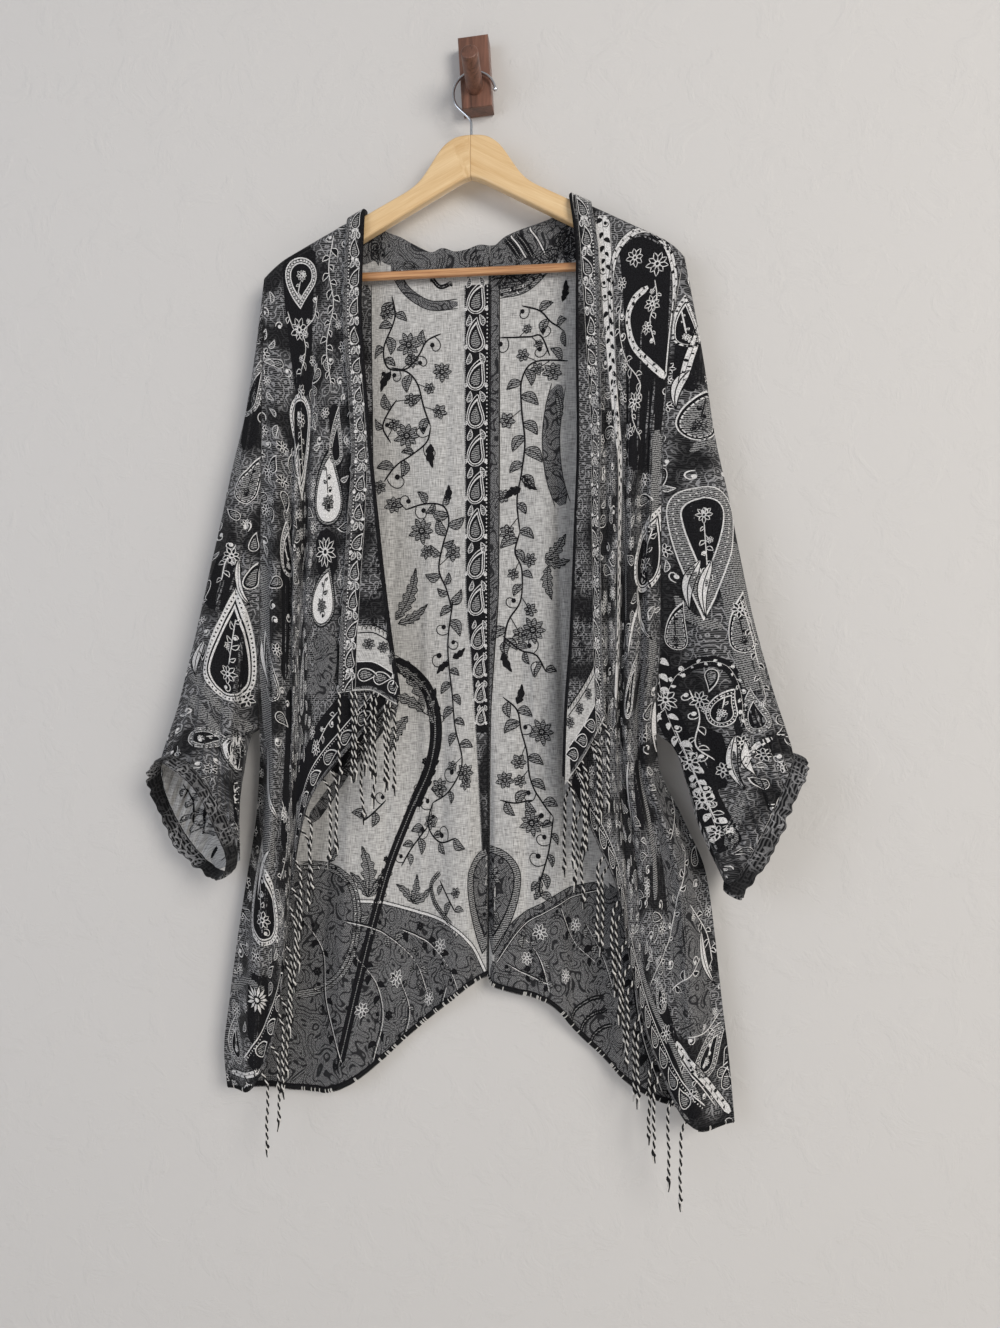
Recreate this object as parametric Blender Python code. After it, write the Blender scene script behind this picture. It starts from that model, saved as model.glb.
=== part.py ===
"""Open-front fringed wrap with gathered sleeves, on a wooden hanger that hangs from a wall hook.

Metres, +Z up, front to -Y. The origin is the middle of the wall plate's back face, on the wall plane Y = 0.
Left and right are the viewer's. Tables are in millimetres, and a drop is a distance below the origin.
"""

import math
from collections import namedtuple

import bmesh
import bpy
import numpy as np

MM = 0.001

# Cloth
WALL = 1.6  # thickness of the cloth's wall
SEAM = 0.3  # clear gap between two pieces at a seam
WRAP = 10.0  # radius of the cloth over the hanger's arm
LIFT = 3.0  # the cloth's middle over the arm's top edge
TURN = 2.4  # radius of the front edge where it turns out as a lapel
WRAP_ROWS = 4
BODY_ROWS = 16
PANEL_COLUMNS = 18
HEMMED_COLUMNS = 3  # the columns at the side that end in a plain hem, with no fringe
LAPEL_COLUMNS = 5
BACK_COLUMNS = 17
SLEEVE_RINGS = 12
UNDERARM_SHARE = 0.95  # how far round each half of a sleeve's ring its last point lies
CUFF_WAVES = 18
CUFF_POINTS = 72
CUFF_WIDTH = 13.0
CUFF_WALL = 2.6
CUFF_WAVE = 1.5
CUFF_START = 1.0  # how far past the sleeve's last ring the casing starts

# Fringe
STRIP = 3.0  # height of the strip that holds the strands
STRIP_GAP = 0.9
STRAND = 2.2  # width of a strand
STRAND_LENGTH = 86.0
LANES = 2  # strands of a steep edge hang in lanes, one behind another
LANE_STEP = 4.0
STRAND_PITCH = 3.0  # least distance between two strands of a lane

# Hanger
HANGER_X = -3.0
HANGER_Y = -23.5
HANGER_HALF_THICK = 6.5
HANGER_HALF_WIDTH = 215.0
CROWN_DROP = 72.0
APEX_DROP = 114.1
ARM_SLOPE = 0.51
LOWER_SLOPE = 0.542
HANGER_ROUND = 2.6
BAR_DROP = 215.0
BAR_RADIUS = 4.5
WIRE_RADIUS = 1.5
HOOK_RADIUS = 22.5
TIP_RADIUS = 2.4

# Wall hook
PLATE_WIDTH = 32.5
PLATE_HEIGHT = 76.0
PLATE_THICK = 19.0
PLATE_LEAN = math.radians(3.45)
PEG_RADIUS = 9.0
PEG_LENGTH = 42.0
PEG_TILT = math.radians(17.0)
PEG_ROOT_DROP = 16.3

Line = namedtuple("Line", "drop x")
Hem = namedtuple("Hem", "share x drop")
Neck = namedtuple("Neck", "share x drop")
Edge = namedtuple("Edge", "drop front back")
Depth = namedtuple("Depth", "drop forward")
Fold = namedtuple("Fold", "top hem width depth start end")
Lapel = namedtuple("Lapel", "drop width")
Ring = namedtuple("Ring", "part x y drop")
Side = namedtuple(
    "Side",
    "name toward neck tip side_line edge_line front_hem back_neck back_hem lapel lapel_end folds back_folds "
    "underarm sleeve_outer sleeve_inner sleeve_depth sleeve_halved cuff_centre cuff_long cuff_short strands "
    "lapel_strands",
)

# The crown of the hanger, half of it: distance from the middle, drop from the top
Crown = namedtuple("Crown", "out drop")
CROWN = [
    Crown(0, 0), Crown(9, 0.5), Crown(17, 2.2), Crown(24, 6.0), Crown(30, 11.0), Crown(36, 18.5),
    Crown(42, 27.5), Crown(48, 36.5), Crown(54, 44.3), Crown(61, 50.8), Crown(70, 56.6),
    Crown(82, 62.8),
]

# Where the front's and the back's outer edges lie, down the armhole and then the side seam
EDGES = [
    Edge(200, -33.5, -13.5), Edge(300, -38, -13.5), Edge(450, -42, -14), Edge(600, -43, -15),
    Edge(690, -40, -15.5), Edge(745, -26, -19.5), Edge(800, -22.4, -20.3), Edge(1105, -25.4, -23.3),
]
FRONT_DEPTH = [
    Depth(150, 0), Depth(250, 4), Depth(400, 10), Depth(550, 15), Depth(660, 18), Depth(800, 18),
    Depth(1100, 15),
]

LEFT = Side(
    name="left",
    toward=-1,
    neck=-118.3,
    tip=-226.0,
    side_line=[
        Line(200, -226), Line(380, -226.6), Line(520, -227.3), Line(690, -229.6), Line(760, -236),
        Line(800, -240), Line(850, -248), Line(919, -259), Line(995, -269), Line(1050, -275),
        Line(1092, -271),
    ],
    edge_line=[
        Line(149, -118.3), Line(244, -120.5), Line(353, -113), Line(438, -104.4), Line(522, -95),
        Line(595, -85.6), Line(657, -76),
    ],
    front_hem=[
        Hem(0, -271, 1090), Hem(0.1, -246, 1086), Hem(0.2, -223, 1067), Hem(0.3, -207, 1013),
        Hem(0.42, -201.5, 941), Hem(0.55, -194, 861), Hem(0.7, -175, 779), Hem(0.85, -132, 722),
        Hem(1, -76, 662),
    ],
    back_neck=[
        Neck(0, 15.2, 184), Neck(0.05, 4.8, 182.5), Neck(0.11, -10, 187), Neck(0.17, -22, 188.5),
        Neck(0.23, -36, 184), Neck(0.28, -47, 188), Neck(0.35, -63, 181), Neck(0.43, -82, 170),
        Neck(0.5, -101, 161), Neck(0.53, -108, 146), Neck(0.56, -118.3, 150),
    ],
    back_hem=[
        Hem(0, 12.2, 963), Hem(0.07, -6, 972), Hem(0.15, -27, 989), Hem(0.31, -71, 1028),
        Hem(0.46, -115, 1068), Hem(0.56, -142, 1086), Hem(0.66, -170, 1096), Hem(0.76, -197, 1096),
        Hem(0.88, -236, 1091), Hem(1, -271, 1090),
    ],
    lapel=[Lapel(149, 16), Lapel(385, 17), Lapel(480, 29), Lapel(563, 44), Lapel(670, 64)],
    lapel_end=[Hem(0, 0, 672), Hem(0.5, 0, 657), Hem(1, 0, 660)],
    folds=[
        Fold(0.15, 0.13, 0.10, 11, 0.05, 2), Fold(0.30, 0.28, 0.06, -7, 0.10, 0.55),
        Fold(0.41, 0.40, 0.07, 5, 0.10, 0.45), Fold(0.54, 0.55, 0.07, -6, 0.20, 0.45),
        Fold(0.67, 0.70, 0.08, 4, 0.15, 0.60), Fold(0.40, 0.46, 0.22, -12, 0.62, 2),
    ],
    back_folds=[
        Fold(0.04, 0.00, 0.06, -5, 0.55, 2), Fold(0.12, 0.12, 0.07, 7, 0.45, 2),
        Fold(0.34, 0.32, 0.10, -4, 0.15, 2), Fold(0.50, 0.52, 0.12, 6, 0.25, 2),
        Fold(0.74, 0.74, 0.10, -5, 0.30, 2),
    ],
    underarm=706.0,
    sleeve_outer=[
        Ring(0, -226, -23.5, 204), Ring(0.14, -234, -25, 270), Ring(0.31, -251, -28, 366),
        Ring(0.45, -268, -31, 442), Ring(0.63, -288.5, -35, 539), Ring(0.81, -309, -40, 636),
        Ring(0.93, -324, -44, 700), Ring(1, -331, -46, 730),
    ],
    sleeve_inner=[
        Ring(0, -229, -29, 712), Ring(0.12, -243, -34, 724), Ring(0.35, -247, -40, 758),
        Ring(0.7, -250, -45, 808), Ring(1, -257, -46, 850),
    ],
    sleeve_depth=[Ring(0, 0, -14, 0), Ring(0.3, 4, -19, 0), Ring(0.7, 14, -25, -6), Ring(1, 34, -28, -17)],
    sleeve_halved=False,
    cuff_centre=(-294.0, -46.0, 790.0),
    cuff_long=(37.0, 0.0, 60.0),
    cuff_short=(34.0, -28.0, -17.0),
    strands=16,
    lapel_strands=8,
)

RIGHT = Side(
    name="right",
    toward=1,
    neck=103.0,
    tip=219.5,
    side_line=[
        Line(200, 219.5), Line(310, 202.5), Line(443, 195.2), Line(606, 193), Line(680, 189),
        Line(730, 192), Line(790, 218), Line(842, 240), Line(882, 246.6), Line(974, 256.7),
        Line(1035, 264), Line(1101, 269.7),
    ],
    edge_line=[
        Line(143, 103), Line(175, 107.8), Line(210, 110.8), Line(287, 110.8), Line(401, 112),
        Line(483, 109.4), Line(606, 104.6), Line(678, 99.5), Line(742, 97.5),
    ],
    front_hem=[
        Hem(0, 269.7, 1098), Hem(0.1, 245, 1100), Hem(0.2, 222.4, 1094), Hem(0.28, 208, 1073),
        Hem(0.4, 185, 1019), Hem(0.5, 173, 975), Hem(0.6, 162, 921), Hem(0.72, 152.8, 865),
        Hem(0.86, 128.7, 808), Hem(1, 97.5, 744),
    ],
    back_neck=[
        Neck(0, 15.8, 184), Neck(0.04, 20, 184), Neck(0.11, 31.6, 175.5), Neck(0.19, 45.5, 169.7),
        Neck(0.3, 65.8, 163.5), Neck(0.4, 83.8, 157), Neck(0.45, 93, 142), Neck(0.5, 103, 143),
    ],
    back_hem=[
        Hem(0, 12.8, 963), Hem(0.06, 18, 971), Hem(0.15, 48, 978.6), Hem(0.25, 74.4, 985),
        Hem(0.31, 90.3, 995), Hem(0.37, 106, 1015), Hem(0.46, 132, 1040), Hem(0.6, 168.6, 1072),
        Hem(0.8, 220, 1092), Hem(1, 269.7, 1098),
    ],
    lapel=[Lapel(143, 20), Lapel(464, 23), Lapel(600, 29), Lapel(681, 36), Lapel(742, 40)],
    lapel_end=[Hem(0, 0, 752), Hem(0.5, 0, 722), Hem(1, 0, 684)],
    folds=[
        Fold(0.10, 0.14, 0.09, 6, 0.08, 2), Fold(0.27, 0.26, 0.07, -7, 0.12, 0.75),
        Fold(0.42, 0.38, 0.08, 6, 0.10, 0.70), Fold(0.58, 0.52, 0.06, -5, 0.15, 0.60),
        Fold(0.72, 0.70, 0.08, 3, 0.20, 0.60), Fold(0.42, 0.45, 0.20, -9, 0.66, 2),
    ],
    back_folds=[
        Fold(0.04, 0.00, 0.06, -5, 0.55, 2), Fold(0.11, 0.12, 0.06, 5, 0.50, 2),
        Fold(0.30, 0.30, 0.10, 6, 0.20, 2), Fold(0.46, 0.44, 0.08, -4, 0.25, 2),
        Fold(0.64, 0.66, 0.11, 5, 0.30, 2),
    ],
    underarm=712.0,
    sleeve_outer=[
        Ring(0, 219.5, -23.5, 204), Ring(0.17, 234, -26, 289), Ring(0.35, 246, -30, 381),
        Ring(0.51, 262, -34, 463), Ring(0.69, 279, -40, 555), Ring(0.87, 299.5, -46, 646),
        Ring(0.95, 312, -49, 690), Ring(1, 320, -50, 718),
    ],
    sleeve_inner=[
        Ring(0, 190, -29, 718), Ring(0.12, 204, -35, 729), Ring(0.35, 215, -43, 756),
        Ring(0.7, 231, -49, 804), Ring(1, 256, -50, 856),
    ],
    sleeve_depth=[Ring(0, 0, -14, 0), Ring(0.3, 0, -19, 0), Ring(0.7, 3, -25, -2), Ring(1, 6, -28, -4)],
    sleeve_halved=True,  # two nodes, whose collision stays open where one node's did not
    cuff_centre=(288.0, -50.0, 787.0),
    cuff_long=(-32.0, 0.0, 69.0),
    cuff_short=(6.0, -28.0, -4.0),
    strands=16,
    lapel_strands=6,
)


def through(rows, key, value, at):
    """A smooth curve through one column of a table against another, with no overshoot."""
    knots = np.array([getattr(row, key) for row in rows], float)
    levels = np.array([getattr(row, value) for row in rows], float)
    steps = np.diff(levels) / np.diff(knots)
    slopes = np.concatenate([steps[:1], np.zeros(len(steps) - 1), steps[-1:]])
    turning = steps[:-1] * steps[1:] <= 0
    total = np.where(turning, 1.0, steps[:-1] + steps[1:])
    slopes[1:-1] = np.where(turning, 0.0, 2 * steps[:-1] * steps[1:] / total)
    at = np.clip(np.asarray(at, float), knots[0], knots[-1])
    i = np.clip(np.searchsorted(knots, at, side="right") - 1, 0, len(steps) - 1)
    gap = knots[i + 1] - knots[i]
    s = (at - knots[i]) / gap
    start = (1 + 2 * s) * (1 - s) ** 2 * levels[i] + s * (1 - s) ** 2 * gap * slopes[i]
    return start + s * s * (3 - 2 * s) * levels[i + 1] + s * s * (s - 1) * gap * slopes[i + 1]


def ease(s):
    """A soft step from 0 to 1."""
    s = np.clip(s, 0, 1)
    return s * s * (3 - 2 * s)


def arm_drop(x):
    """The drop of the hanger's upper edge along its straight arms."""
    out = np.abs(np.asarray(x, float) - HANGER_X)
    return CROWN_DROP + CROWN[-1].drop + ARM_SLOPE * (out - CROWN[-1].out)


def folded(folds, share, down):
    """How far the folds of a panel push it forward."""
    push = np.zeros(np.broadcast(share, down).shape)
    for fold in folds:
        middle = fold.top + (fold.hem - fold.top) * down
        bell = np.exp(-(((share - middle) / fold.width) ** 2))
        shown = ease((down - fold.start) / 0.3) * (1 - ease((down - fold.end) / 0.25))
        push = push + fold.depth * bell * shown
    return push


def wrap_angles():
    """The angle of each row over the arm, and the share of the drop of each row below it."""
    right = math.pi / 2
    over = np.concatenate([np.linspace(0, right, WRAP_ROWS), np.full(BODY_ROWS, right)])
    down = np.concatenate([np.zeros(WRAP_ROWS), np.linspace(0, 1, BODY_ROWS + 1)[1:]])
    return over[:, None], down[:, None]


def front_panel(side):
    """The front from its armhole and side edge to the front edge, as rows of points."""
    over, down = wrap_angles()
    share = np.linspace(0, 1, PANEL_COLUMNS)[None, :]
    top_x = side.tip + (side.neck - side.tip) * share
    top = arm_drop(top_x) - LIFT
    hem_x = through(side.front_hem, "share", "x", share)
    hem = through(side.front_hem, "share", "drop", share)
    drop = top + WRAP * (1 - np.cos(over)) + (hem - top - WRAP) * down
    part = (drop - top) / (hem - top)
    x = top_x + (hem_x - top_x) * part
    ends = []
    for column, table in ((0, side.side_line), (-1, side.edge_line)):
        between = [top_x[0, column], hem_x[0, column]]
        straight = np.interp(drop, [top[0, column], hem[0, column]], between)
        ends.append(through(table, "drop", "x", np.minimum(drop, hem[0, column])) - straight)
    x = x + ends[0] * (1 - share) ** 2 + ends[1] * share ** 2
    middle = HANGER_Y - WRAP - through(FRONT_DEPTH, "drop", "forward", drop)
    middle = middle - folded(side.folds, share, down) * ease((drop - 235) / 90) * ease((1 - share) / 0.2)
    outer = through(EDGES, "drop", "front", drop)
    toward_edge = ease(share / 0.2)
    y = outer + (middle - outer) * toward_edge
    y = np.where(over < 1.57, HANGER_Y - WRAP * np.sin(over), y)
    y[0] -= SEAM / 2
    return np.stack(np.broadcast_arrays(x, y, -drop), axis=-1)


def with_lapel(side, panel):
    """The front with its edge turned outward as a lapel that lies over it."""
    over, down = wrap_angles()
    edge = panel[:, -1]
    out = np.stack([0 * over, -np.sin(over), np.cos(over)], axis=-1)[:, 0]
    width = through(side.lapel, "drop", "width", -edge[:, 2])
    top = -edge[:, 2]
    columns = [panel]
    across = np.array([-side.toward, 0, 0])
    for angle in (60, 120):
        a = math.radians(angle)
        columns.append((edge + across * TURN * math.sin(a) + out * TURN * (1 - math.cos(a)))[:, None])
    for step in range(LAPEL_COLUMNS):
        part = step / (LAPEL_COLUMNS - 1)
        end = through(side.lapel_end, "share", "drop", part)
        scale = (end - top[0]) / (top[-1] - top[0])
        point = edge + out * (2 * TURN + 2.0 * part * ease(down[:, 0] / 0.5)[:, None])
        point[:, 0] += side.toward * width * part
        slope = ARM_SLOPE * width * part * (1 - ease(down[:, 0] / 0.2))
        point[:, 2] = -(top[0] + (top - top[0]) * scale) - slope + out[:, 2] * 2 * TURN
        columns.append(point[:, None])
    return np.concatenate(columns, axis=1)


def back_panel(side):
    """Half of the back, from the middle seam to the armhole and side edge."""
    over, down = wrap_angles()
    free = side.back_neck[-1].share
    neck_shares = [row.share for row in side.back_neck]
    arm_shares = np.linspace(free, 1, BACK_COLUMNS - len(neck_shares) + 1)[1:]
    share = np.array(neck_shares + list(arm_shares))[None, :]
    part = np.clip((share - free) / (1 - free), 0, 1)
    ridge_x = side.neck + (side.tip - side.neck) * part
    over_arm = share >= free - 1e-9
    top_x = np.where(over_arm, ridge_x, through(side.back_neck, "share", "x", share))
    top = np.where(over_arm, arm_drop(ridge_x) - LIFT, through(side.back_neck, "share", "drop", share))
    hem_x = through(side.back_hem, "share", "x", share)
    hem = through(side.back_hem, "share", "drop", share)
    drop = top + WRAP * (1 - np.cos(over)) + (hem - top - WRAP) * down
    x = top_x + (hem_x - top_x) * (drop - top) / (hem - top)
    straight = np.interp(drop, [top[0, -1], hem[0, -1]], [top_x[0, -1], hem_x[0, -1]])
    x = x + (through(side.side_line, "drop", "x", np.minimum(drop, hem[0, -1])) - straight) * share ** 3
    held = np.where(over_arm, 1.0, 0.0)
    flat = HANGER_Y + WRAP - folded(side.back_folds, share, down)
    outer = through(EDGES, "drop", "back", drop)
    y = flat + (outer - flat) * ease((share - 0.8) / 0.2)
    y = np.where(over < 1.57, HANGER_Y + WRAP * (held * np.sin(over) + 1 - held), y)
    y[0] += SEAM / 2
    return np.stack(np.broadcast_arrays(x, y, -drop), axis=-1)


def normals_of(grid, closed=False):
    """Unit normals of a grid of points, from the slopes along its rows and columns."""
    along = np.gradient(grid, axis=0)
    if closed:
        across = np.roll(grid, -1, axis=1) - np.roll(grid, 1, axis=1)
    else:
        across = np.gradient(grid, axis=1)
    n = np.cross(across, along)
    return n / np.linalg.norm(n, axis=-1, keepdims=True)


def make(name, points, faces, material):
    """A named object from points in millimetres, its faces turned outward."""
    mesh = bpy.data.meshes.new(name)
    mesh.from_pydata((np.asarray(points, float) * MM).tolist(), [], [list(map(int, f)) for f in faces])
    shape = bmesh.new()
    shape.from_mesh(mesh)
    bmesh.ops.recalc_face_normals(shape, faces=shape.faces)
    bmesh.ops.triangulate(shape, faces=shape.faces)
    shape.to_mesh(mesh)
    shape.free()
    mesh.materials.append(material)
    piece = bpy.data.objects.new(name, mesh)
    bpy.context.scene.collection.objects.link(piece)
    return piece


def make_wall(name, grid, normals, material, closed=False):
    """A wall of even thickness around a grid of middle points, whose columns meet if it is closed."""
    rows, columns = grid.shape[:2]
    half = normals * WALL / 2
    points = np.concatenate([(grid + half).reshape(-1, 3), (grid - half).reshape(-1, 3)])
    far = rows * columns
    faces = []
    span = columns if closed else columns - 1
    for i in range(rows - 1):
        for j in range(span):
            k = (j + 1) % columns
            quad = [i * columns + j, i * columns + k, (i + 1) * columns + k, (i + 1) * columns + j]
            faces += [quad, [far + c for c in reversed(quad)]]
    for i in (0, rows - 1):
        for j in range(span):
            a, b = i * columns + j, i * columns + (j + 1) % columns
            faces.append([a, b, far + b, far + a])
    for j in () if closed else (0, columns - 1):
        for i in range(rows - 1):
            a, b = i * columns + j, (i + 1) * columns + j
            faces.append([a, b, far + b, far + a])
    return make(name, points, faces, material)


def sleeve_grid(side, front, back, front_normals, back_normals):
    """The sleeve's rings, from the armhole's own edge points to the cuff, and the first ring's normals."""
    last = int(np.argmax(-front[:, 0, 2] > side.underarm))
    arm_front, arm_back = front[:last, 0], back[1:last, -1][::-1]
    first_normals = np.concatenate([front_normals[:last, 0], back_normals[1:last, -1][::-1]])
    drops = -arm_front[:, 2]
    share = UNDERARM_SHARE * (drops - drops[0]) / (drops[-1] - drops[0])
    back_share = np.interp(-arm_back[:, 2], drops, share)
    share = np.concatenate([share, back_share])[:, None]
    first = np.concatenate([arm_front, arm_back])
    first = first + np.array([side.toward, 0, 0]) * (2 * SEAM + 0.8 * (share / UNDERARM_SHARE) ** 6)
    face = np.concatenate([np.ones(last), -np.ones(last - 1)])[:, None]
    rings = []
    parts = np.linspace(0, 1, SLEEVE_RINGS) ** 1.15
    for part in parts:
        ends = []
        for table in (side.sleeve_outer, side.sleeve_inner, side.sleeve_depth):
            ends.append(np.array([through(table, "part", column, part) for column in ("x", "y", "drop")]))
        outer, inner, depth = ends
        oval = outer + (inner - outer) * share + face * depth * 2 * np.sqrt(share * (1 - share))
        rings.append(oval * np.array([1, 1, -1]))
    parts = parts[:, None, None]
    rings = np.stack(rings)
    return rings + (first - rings[0]) * (1 - ease(parts / 0.3)), first_normals


def sleeve_half(sleeve, normals, columns):
    """One face of a sleeve, from its top fold to the underarm, drawn in by half a seam at both."""
    half = sleeve[:, columns]
    for end, beside in ((0, 1), (-1, -2)):
        inward = half[:, beside] - half[:, end]
        half[:, end] += inward * (0.6 * SEAM / np.linalg.norm(inward, axis=1, keepdims=True))
    return half, normals[:, columns]


def cuff_piece(side, material):
    """The gathered casing at the end of a sleeve: a ring of ruffles round the open mouth."""
    turn = np.linspace(0, 2 * math.pi, CUFF_POINTS, endpoint=False)[:, None]
    flip = np.array([1, 1, -1])
    centre = np.array(side.cuff_centre) * flip
    long, short = np.array(side.cuff_long) * flip, np.array(side.cuff_short) * flip
    axis = np.cross(long, short)
    axis = axis / np.linalg.norm(axis)
    if axis[2] > 0:
        axis = -axis
    rim = centre + long * np.cos(turn) + short * np.sin(turn)
    out = long * np.cos(turn) / (long @ long) + short * np.sin(turn) / (short @ short)
    out = out / np.linalg.norm(out, axis=1, keepdims=True)
    wave = np.sin(CUFF_WAVES * turn)
    loops = []
    for along, thick in ((0, 1), (1, 1), (1, -1), (0, -1)):
        width = (CUFF_WIDTH + 1.5 * np.cos(5 * turn)) * along + CUFF_START
        bulge = CUFF_WAVE * wave * (0.4 + 0.6 * along)
        loops.append(rim + axis * width + out * (bulge + thick * CUFF_WALL / 2))
    points = np.concatenate(loops)
    faces = []
    for loop in range(4):
        for j in range(CUFF_POINTS):
            k = (j + 1) % CUFF_POINTS
            a, b = loop * CUFF_POINTS, (loop + 1) % 4 * CUFF_POINTS
            faces.append([a + j, a + k, b + k, b + j])
    return make("cuff_" + side.name, points, faces, material)


def fringe_piece(name, edge, outward, strands, behind, spread, material):
    """Strands that grow from a narrow strip along a cloth edge, parted from the cloth by a gap."""
    steps = np.linalg.norm(np.diff(edge, axis=0), axis=1)
    along = np.concatenate([[0], np.cumsum(steps)])
    pitch = along[-1] / strands
    roots = (np.arange(strands) + 0.5) * pitch
    knots = along[1:-1]
    clear = np.min(np.abs(knots[:, None] - roots[None, :]), axis=1) > STRAND
    stations = [(0.5, False), (along[-1] - 0.5, False)] + [(k, False) for k in knots[clear]]
    for root in roots:
        stations += [(root - STRAND / 2, True), (root + STRAND / 2, False)]
    stations.sort()

    def at(values, s):
        return np.array([np.interp(s, along, values[:, k]) for k in range(3)])

    points, faces = [], []
    n = np.array([0, 1.0, 0])
    hang_y = edge[:, 1].mean()
    hung = {}
    for s, _ in stations:
        middle, out = at(edge, s), at(outward, s)
        out = out / np.linalg.norm(out)
        near, far = middle + out * STRIP_GAP, middle + out * (STRIP_GAP + STRIP)
        points += [near + n * WALL / 2, near - n * WALL / 2, far - n * WALL / 2, far + n * WALL / 2]
    strand = 0
    for i, (s, is_root) in enumerate(stations[:-1]):
        a, b = 4 * i, 4 * i + 4
        for c in range(4):
            if c == 2 and is_root:
                continue
            d = (c + 1) % 4
            faces.append([a + c, a + d, b + d, b + c])
        if not is_root:
            continue
        ring = [a + 2, a + 3, b + 3, b + 2]
        corners = np.array([points[c] for c in ring])
        middle = corners.mean(axis=0)
        out = at(outward, s)
        out = out / np.linalg.norm(out)
        steep = ease((1 - abs(out[2])) / 0.5)
        lane = strand % LANES
        y = middle[1] + behind * lane * LANE_STEP * 0.5
        y = y + (hang_y + behind * lane * LANE_STEP - y) * steep
        x = middle[0] + out[0] * 3.0
        if spread and lane in hung:
            x = spread * max(spread * x, spread * hung[lane] + STRAND_PITCH)
        hung[lane] = x
        length = STRAND_LENGTH * (1 + 0.05 * math.sin(3.1 * strand))
        sway = 0.3 * math.sin(2.3 * strand)
        low = middle[2] + out[2] * 3.0
        path = [
            np.array([middle[0] + out[0] * 1.4, y, middle[2] + out[2] * 1.4 - 6.0 * steep]),
            np.array([x, y, low - 13.0]),
            np.array([x + sway, y, low - length]),
        ]
        half = STRAND / 2
        for k, centre in enumerate(path):
            before = middle if k == 0 else path[k - 1]
            after = path[min(k + 1, len(path) - 1)]
            run = after - before
            run = run / np.linalg.norm(run)
            thick = np.array([0, 1.0, 0]) - run * run[1]
            thick = thick / np.linalg.norm(thick)
            wide = np.cross(run, thick)
            corners_at = ((-1, 1), (-1, -1), (1, -1), (1, 1))
            square = np.array([centre + wide * half * p + thick * half * q for p, q in corners_at])
            before_ring = np.array([points[c] for c in ring])
            shifts = [np.roll(square, r, axis=0) for r in range(4)]
            shifts += [np.roll(square[::-1], r, axis=0) for r in range(4)]
            before_ring = before_ring - before_ring.mean(axis=0)
            spans = [np.linalg.norm(shift - centre - before_ring) for shift in shifts]
            square = shifts[int(np.argmin(spans))]
            new = list(range(len(points), len(points) + 4))
            points += list(square)
            for c in range(4):
                d = (c + 1) % 4
                faces.append([ring[c], ring[d], new[d], new[c]])
            ring = new
        faces.append(ring)
        strand += 1
    last = 4 * (len(stations) - 1)
    faces += [[0, 1, 2, 3], [last, last + 1, last + 2, last + 3]]
    return make(name, points, faces, material)


def edge_of(grid, normals, first, last):
    """The bottom row between two columns, with the directions that lead out of the cloth there."""
    edge, n = grid[-1, first:last], normals[-1, first:last]
    run = np.gradient(edge, axis=0)
    out = np.cross(n, run)
    out = out / np.linalg.norm(out, axis=1, keepdims=True)
    inward = grid[-3, first:last] - edge
    out = np.where((np.sum(out * inward, axis=1) > 0)[:, None], -out, out) * np.array([1, 0, 1])
    return edge, out / np.linalg.norm(out, axis=1, keepdims=True)


def tube(name, path, radii, sides, material, across=(0.0, 1.0, 0.0)):
    """A round bar along a path that lies in the plane square to one direction."""
    path, across = np.asarray(path, float), np.asarray(across, float)
    run = np.gradient(path, axis=0)
    run = run / np.linalg.norm(run, axis=1, keepdims=True)
    other = np.cross(run, across)
    turn = np.linspace(0, 2 * math.pi, sides, endpoint=False)
    cosine, sine = np.cos(turn)[:, None], np.sin(turn)[:, None]
    points = np.concatenate([p + r * (cosine * across + sine * o) for p, r, o in zip(path, radii, other)])
    faces = [list(range(sides)), list(range(len(points) - sides, len(points)))]
    for i in range(len(path) - 1):
        for j in range(sides):
            k = (j + 1) % sides
            faces.append([i * sides + j, i * sides + k, (i + 1) * sides + k, (i + 1) * sides + j])
    return make(name, points, faces, material)


def material_of(name, colour, roughness, metallic=0.0):
    material = bpy.data.materials.new(name)
    material.use_nodes = True
    shader = material.node_tree.nodes["Principled BSDF"]
    shader.inputs["Base Color"].default_value = (*colour, 1)
    shader.inputs["Roughness"].default_value = roughness
    shader.inputs["Metallic"].default_value = metallic
    return material


for old in list(bpy.data.objects):
    bpy.data.objects.remove(old)

cloth = material_of("jacquard_cloth", (0.12, 0.12, 0.12), 0.9)
yarn = material_of("fringe_yarn", (0.3, 0.3, 0.3), 0.9)
beech = material_of("beech_wood", (0.72, 0.6, 0.45), 0.5)
dowel = material_of("stained_dowel", (0.42, 0.2, 0.12), 0.4)
chrome = material_of("chrome_wire", (0.8, 0.8, 0.8), 0.15, 1.0)
walnut = material_of("walnut_wood", (0.2, 0.11, 0.07), 0.45)

# Wall plate: a leaning block with eased edges, its back on the wall
bevelled = bmesh.new()
bmesh.ops.create_cube(bevelled, size=1)
for corner in bevelled.verts:
    wide, high = corner.co.x * PLATE_WIDTH, corner.co.z * PLATE_HEIGHT
    corner.co.x = (wide * math.cos(PLATE_LEAN) - high * math.sin(PLATE_LEAN)) * MM
    corner.co.z = (wide * math.sin(PLATE_LEAN) + high * math.cos(PLATE_LEAN)) * MM
    corner.co.y = (corner.co.y - 0.5) * PLATE_THICK * MM
front_edges = [edge for edge in bevelled.edges if all(v.co.y < -PLATE_THICK * MM / 2 for v in edge.verts)]
bmesh.ops.bevel(bevelled, geom=front_edges, offset=1.2 * MM, segments=2, profile=0.5, affect="EDGES")
bmesh.ops.triangulate(bevelled, faces=bevelled.faces)
plate_mesh = bpy.data.meshes.new("wall_plate")
bevelled.to_mesh(plate_mesh)
bevelled.free()
plate_mesh.materials.append(walnut)
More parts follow.
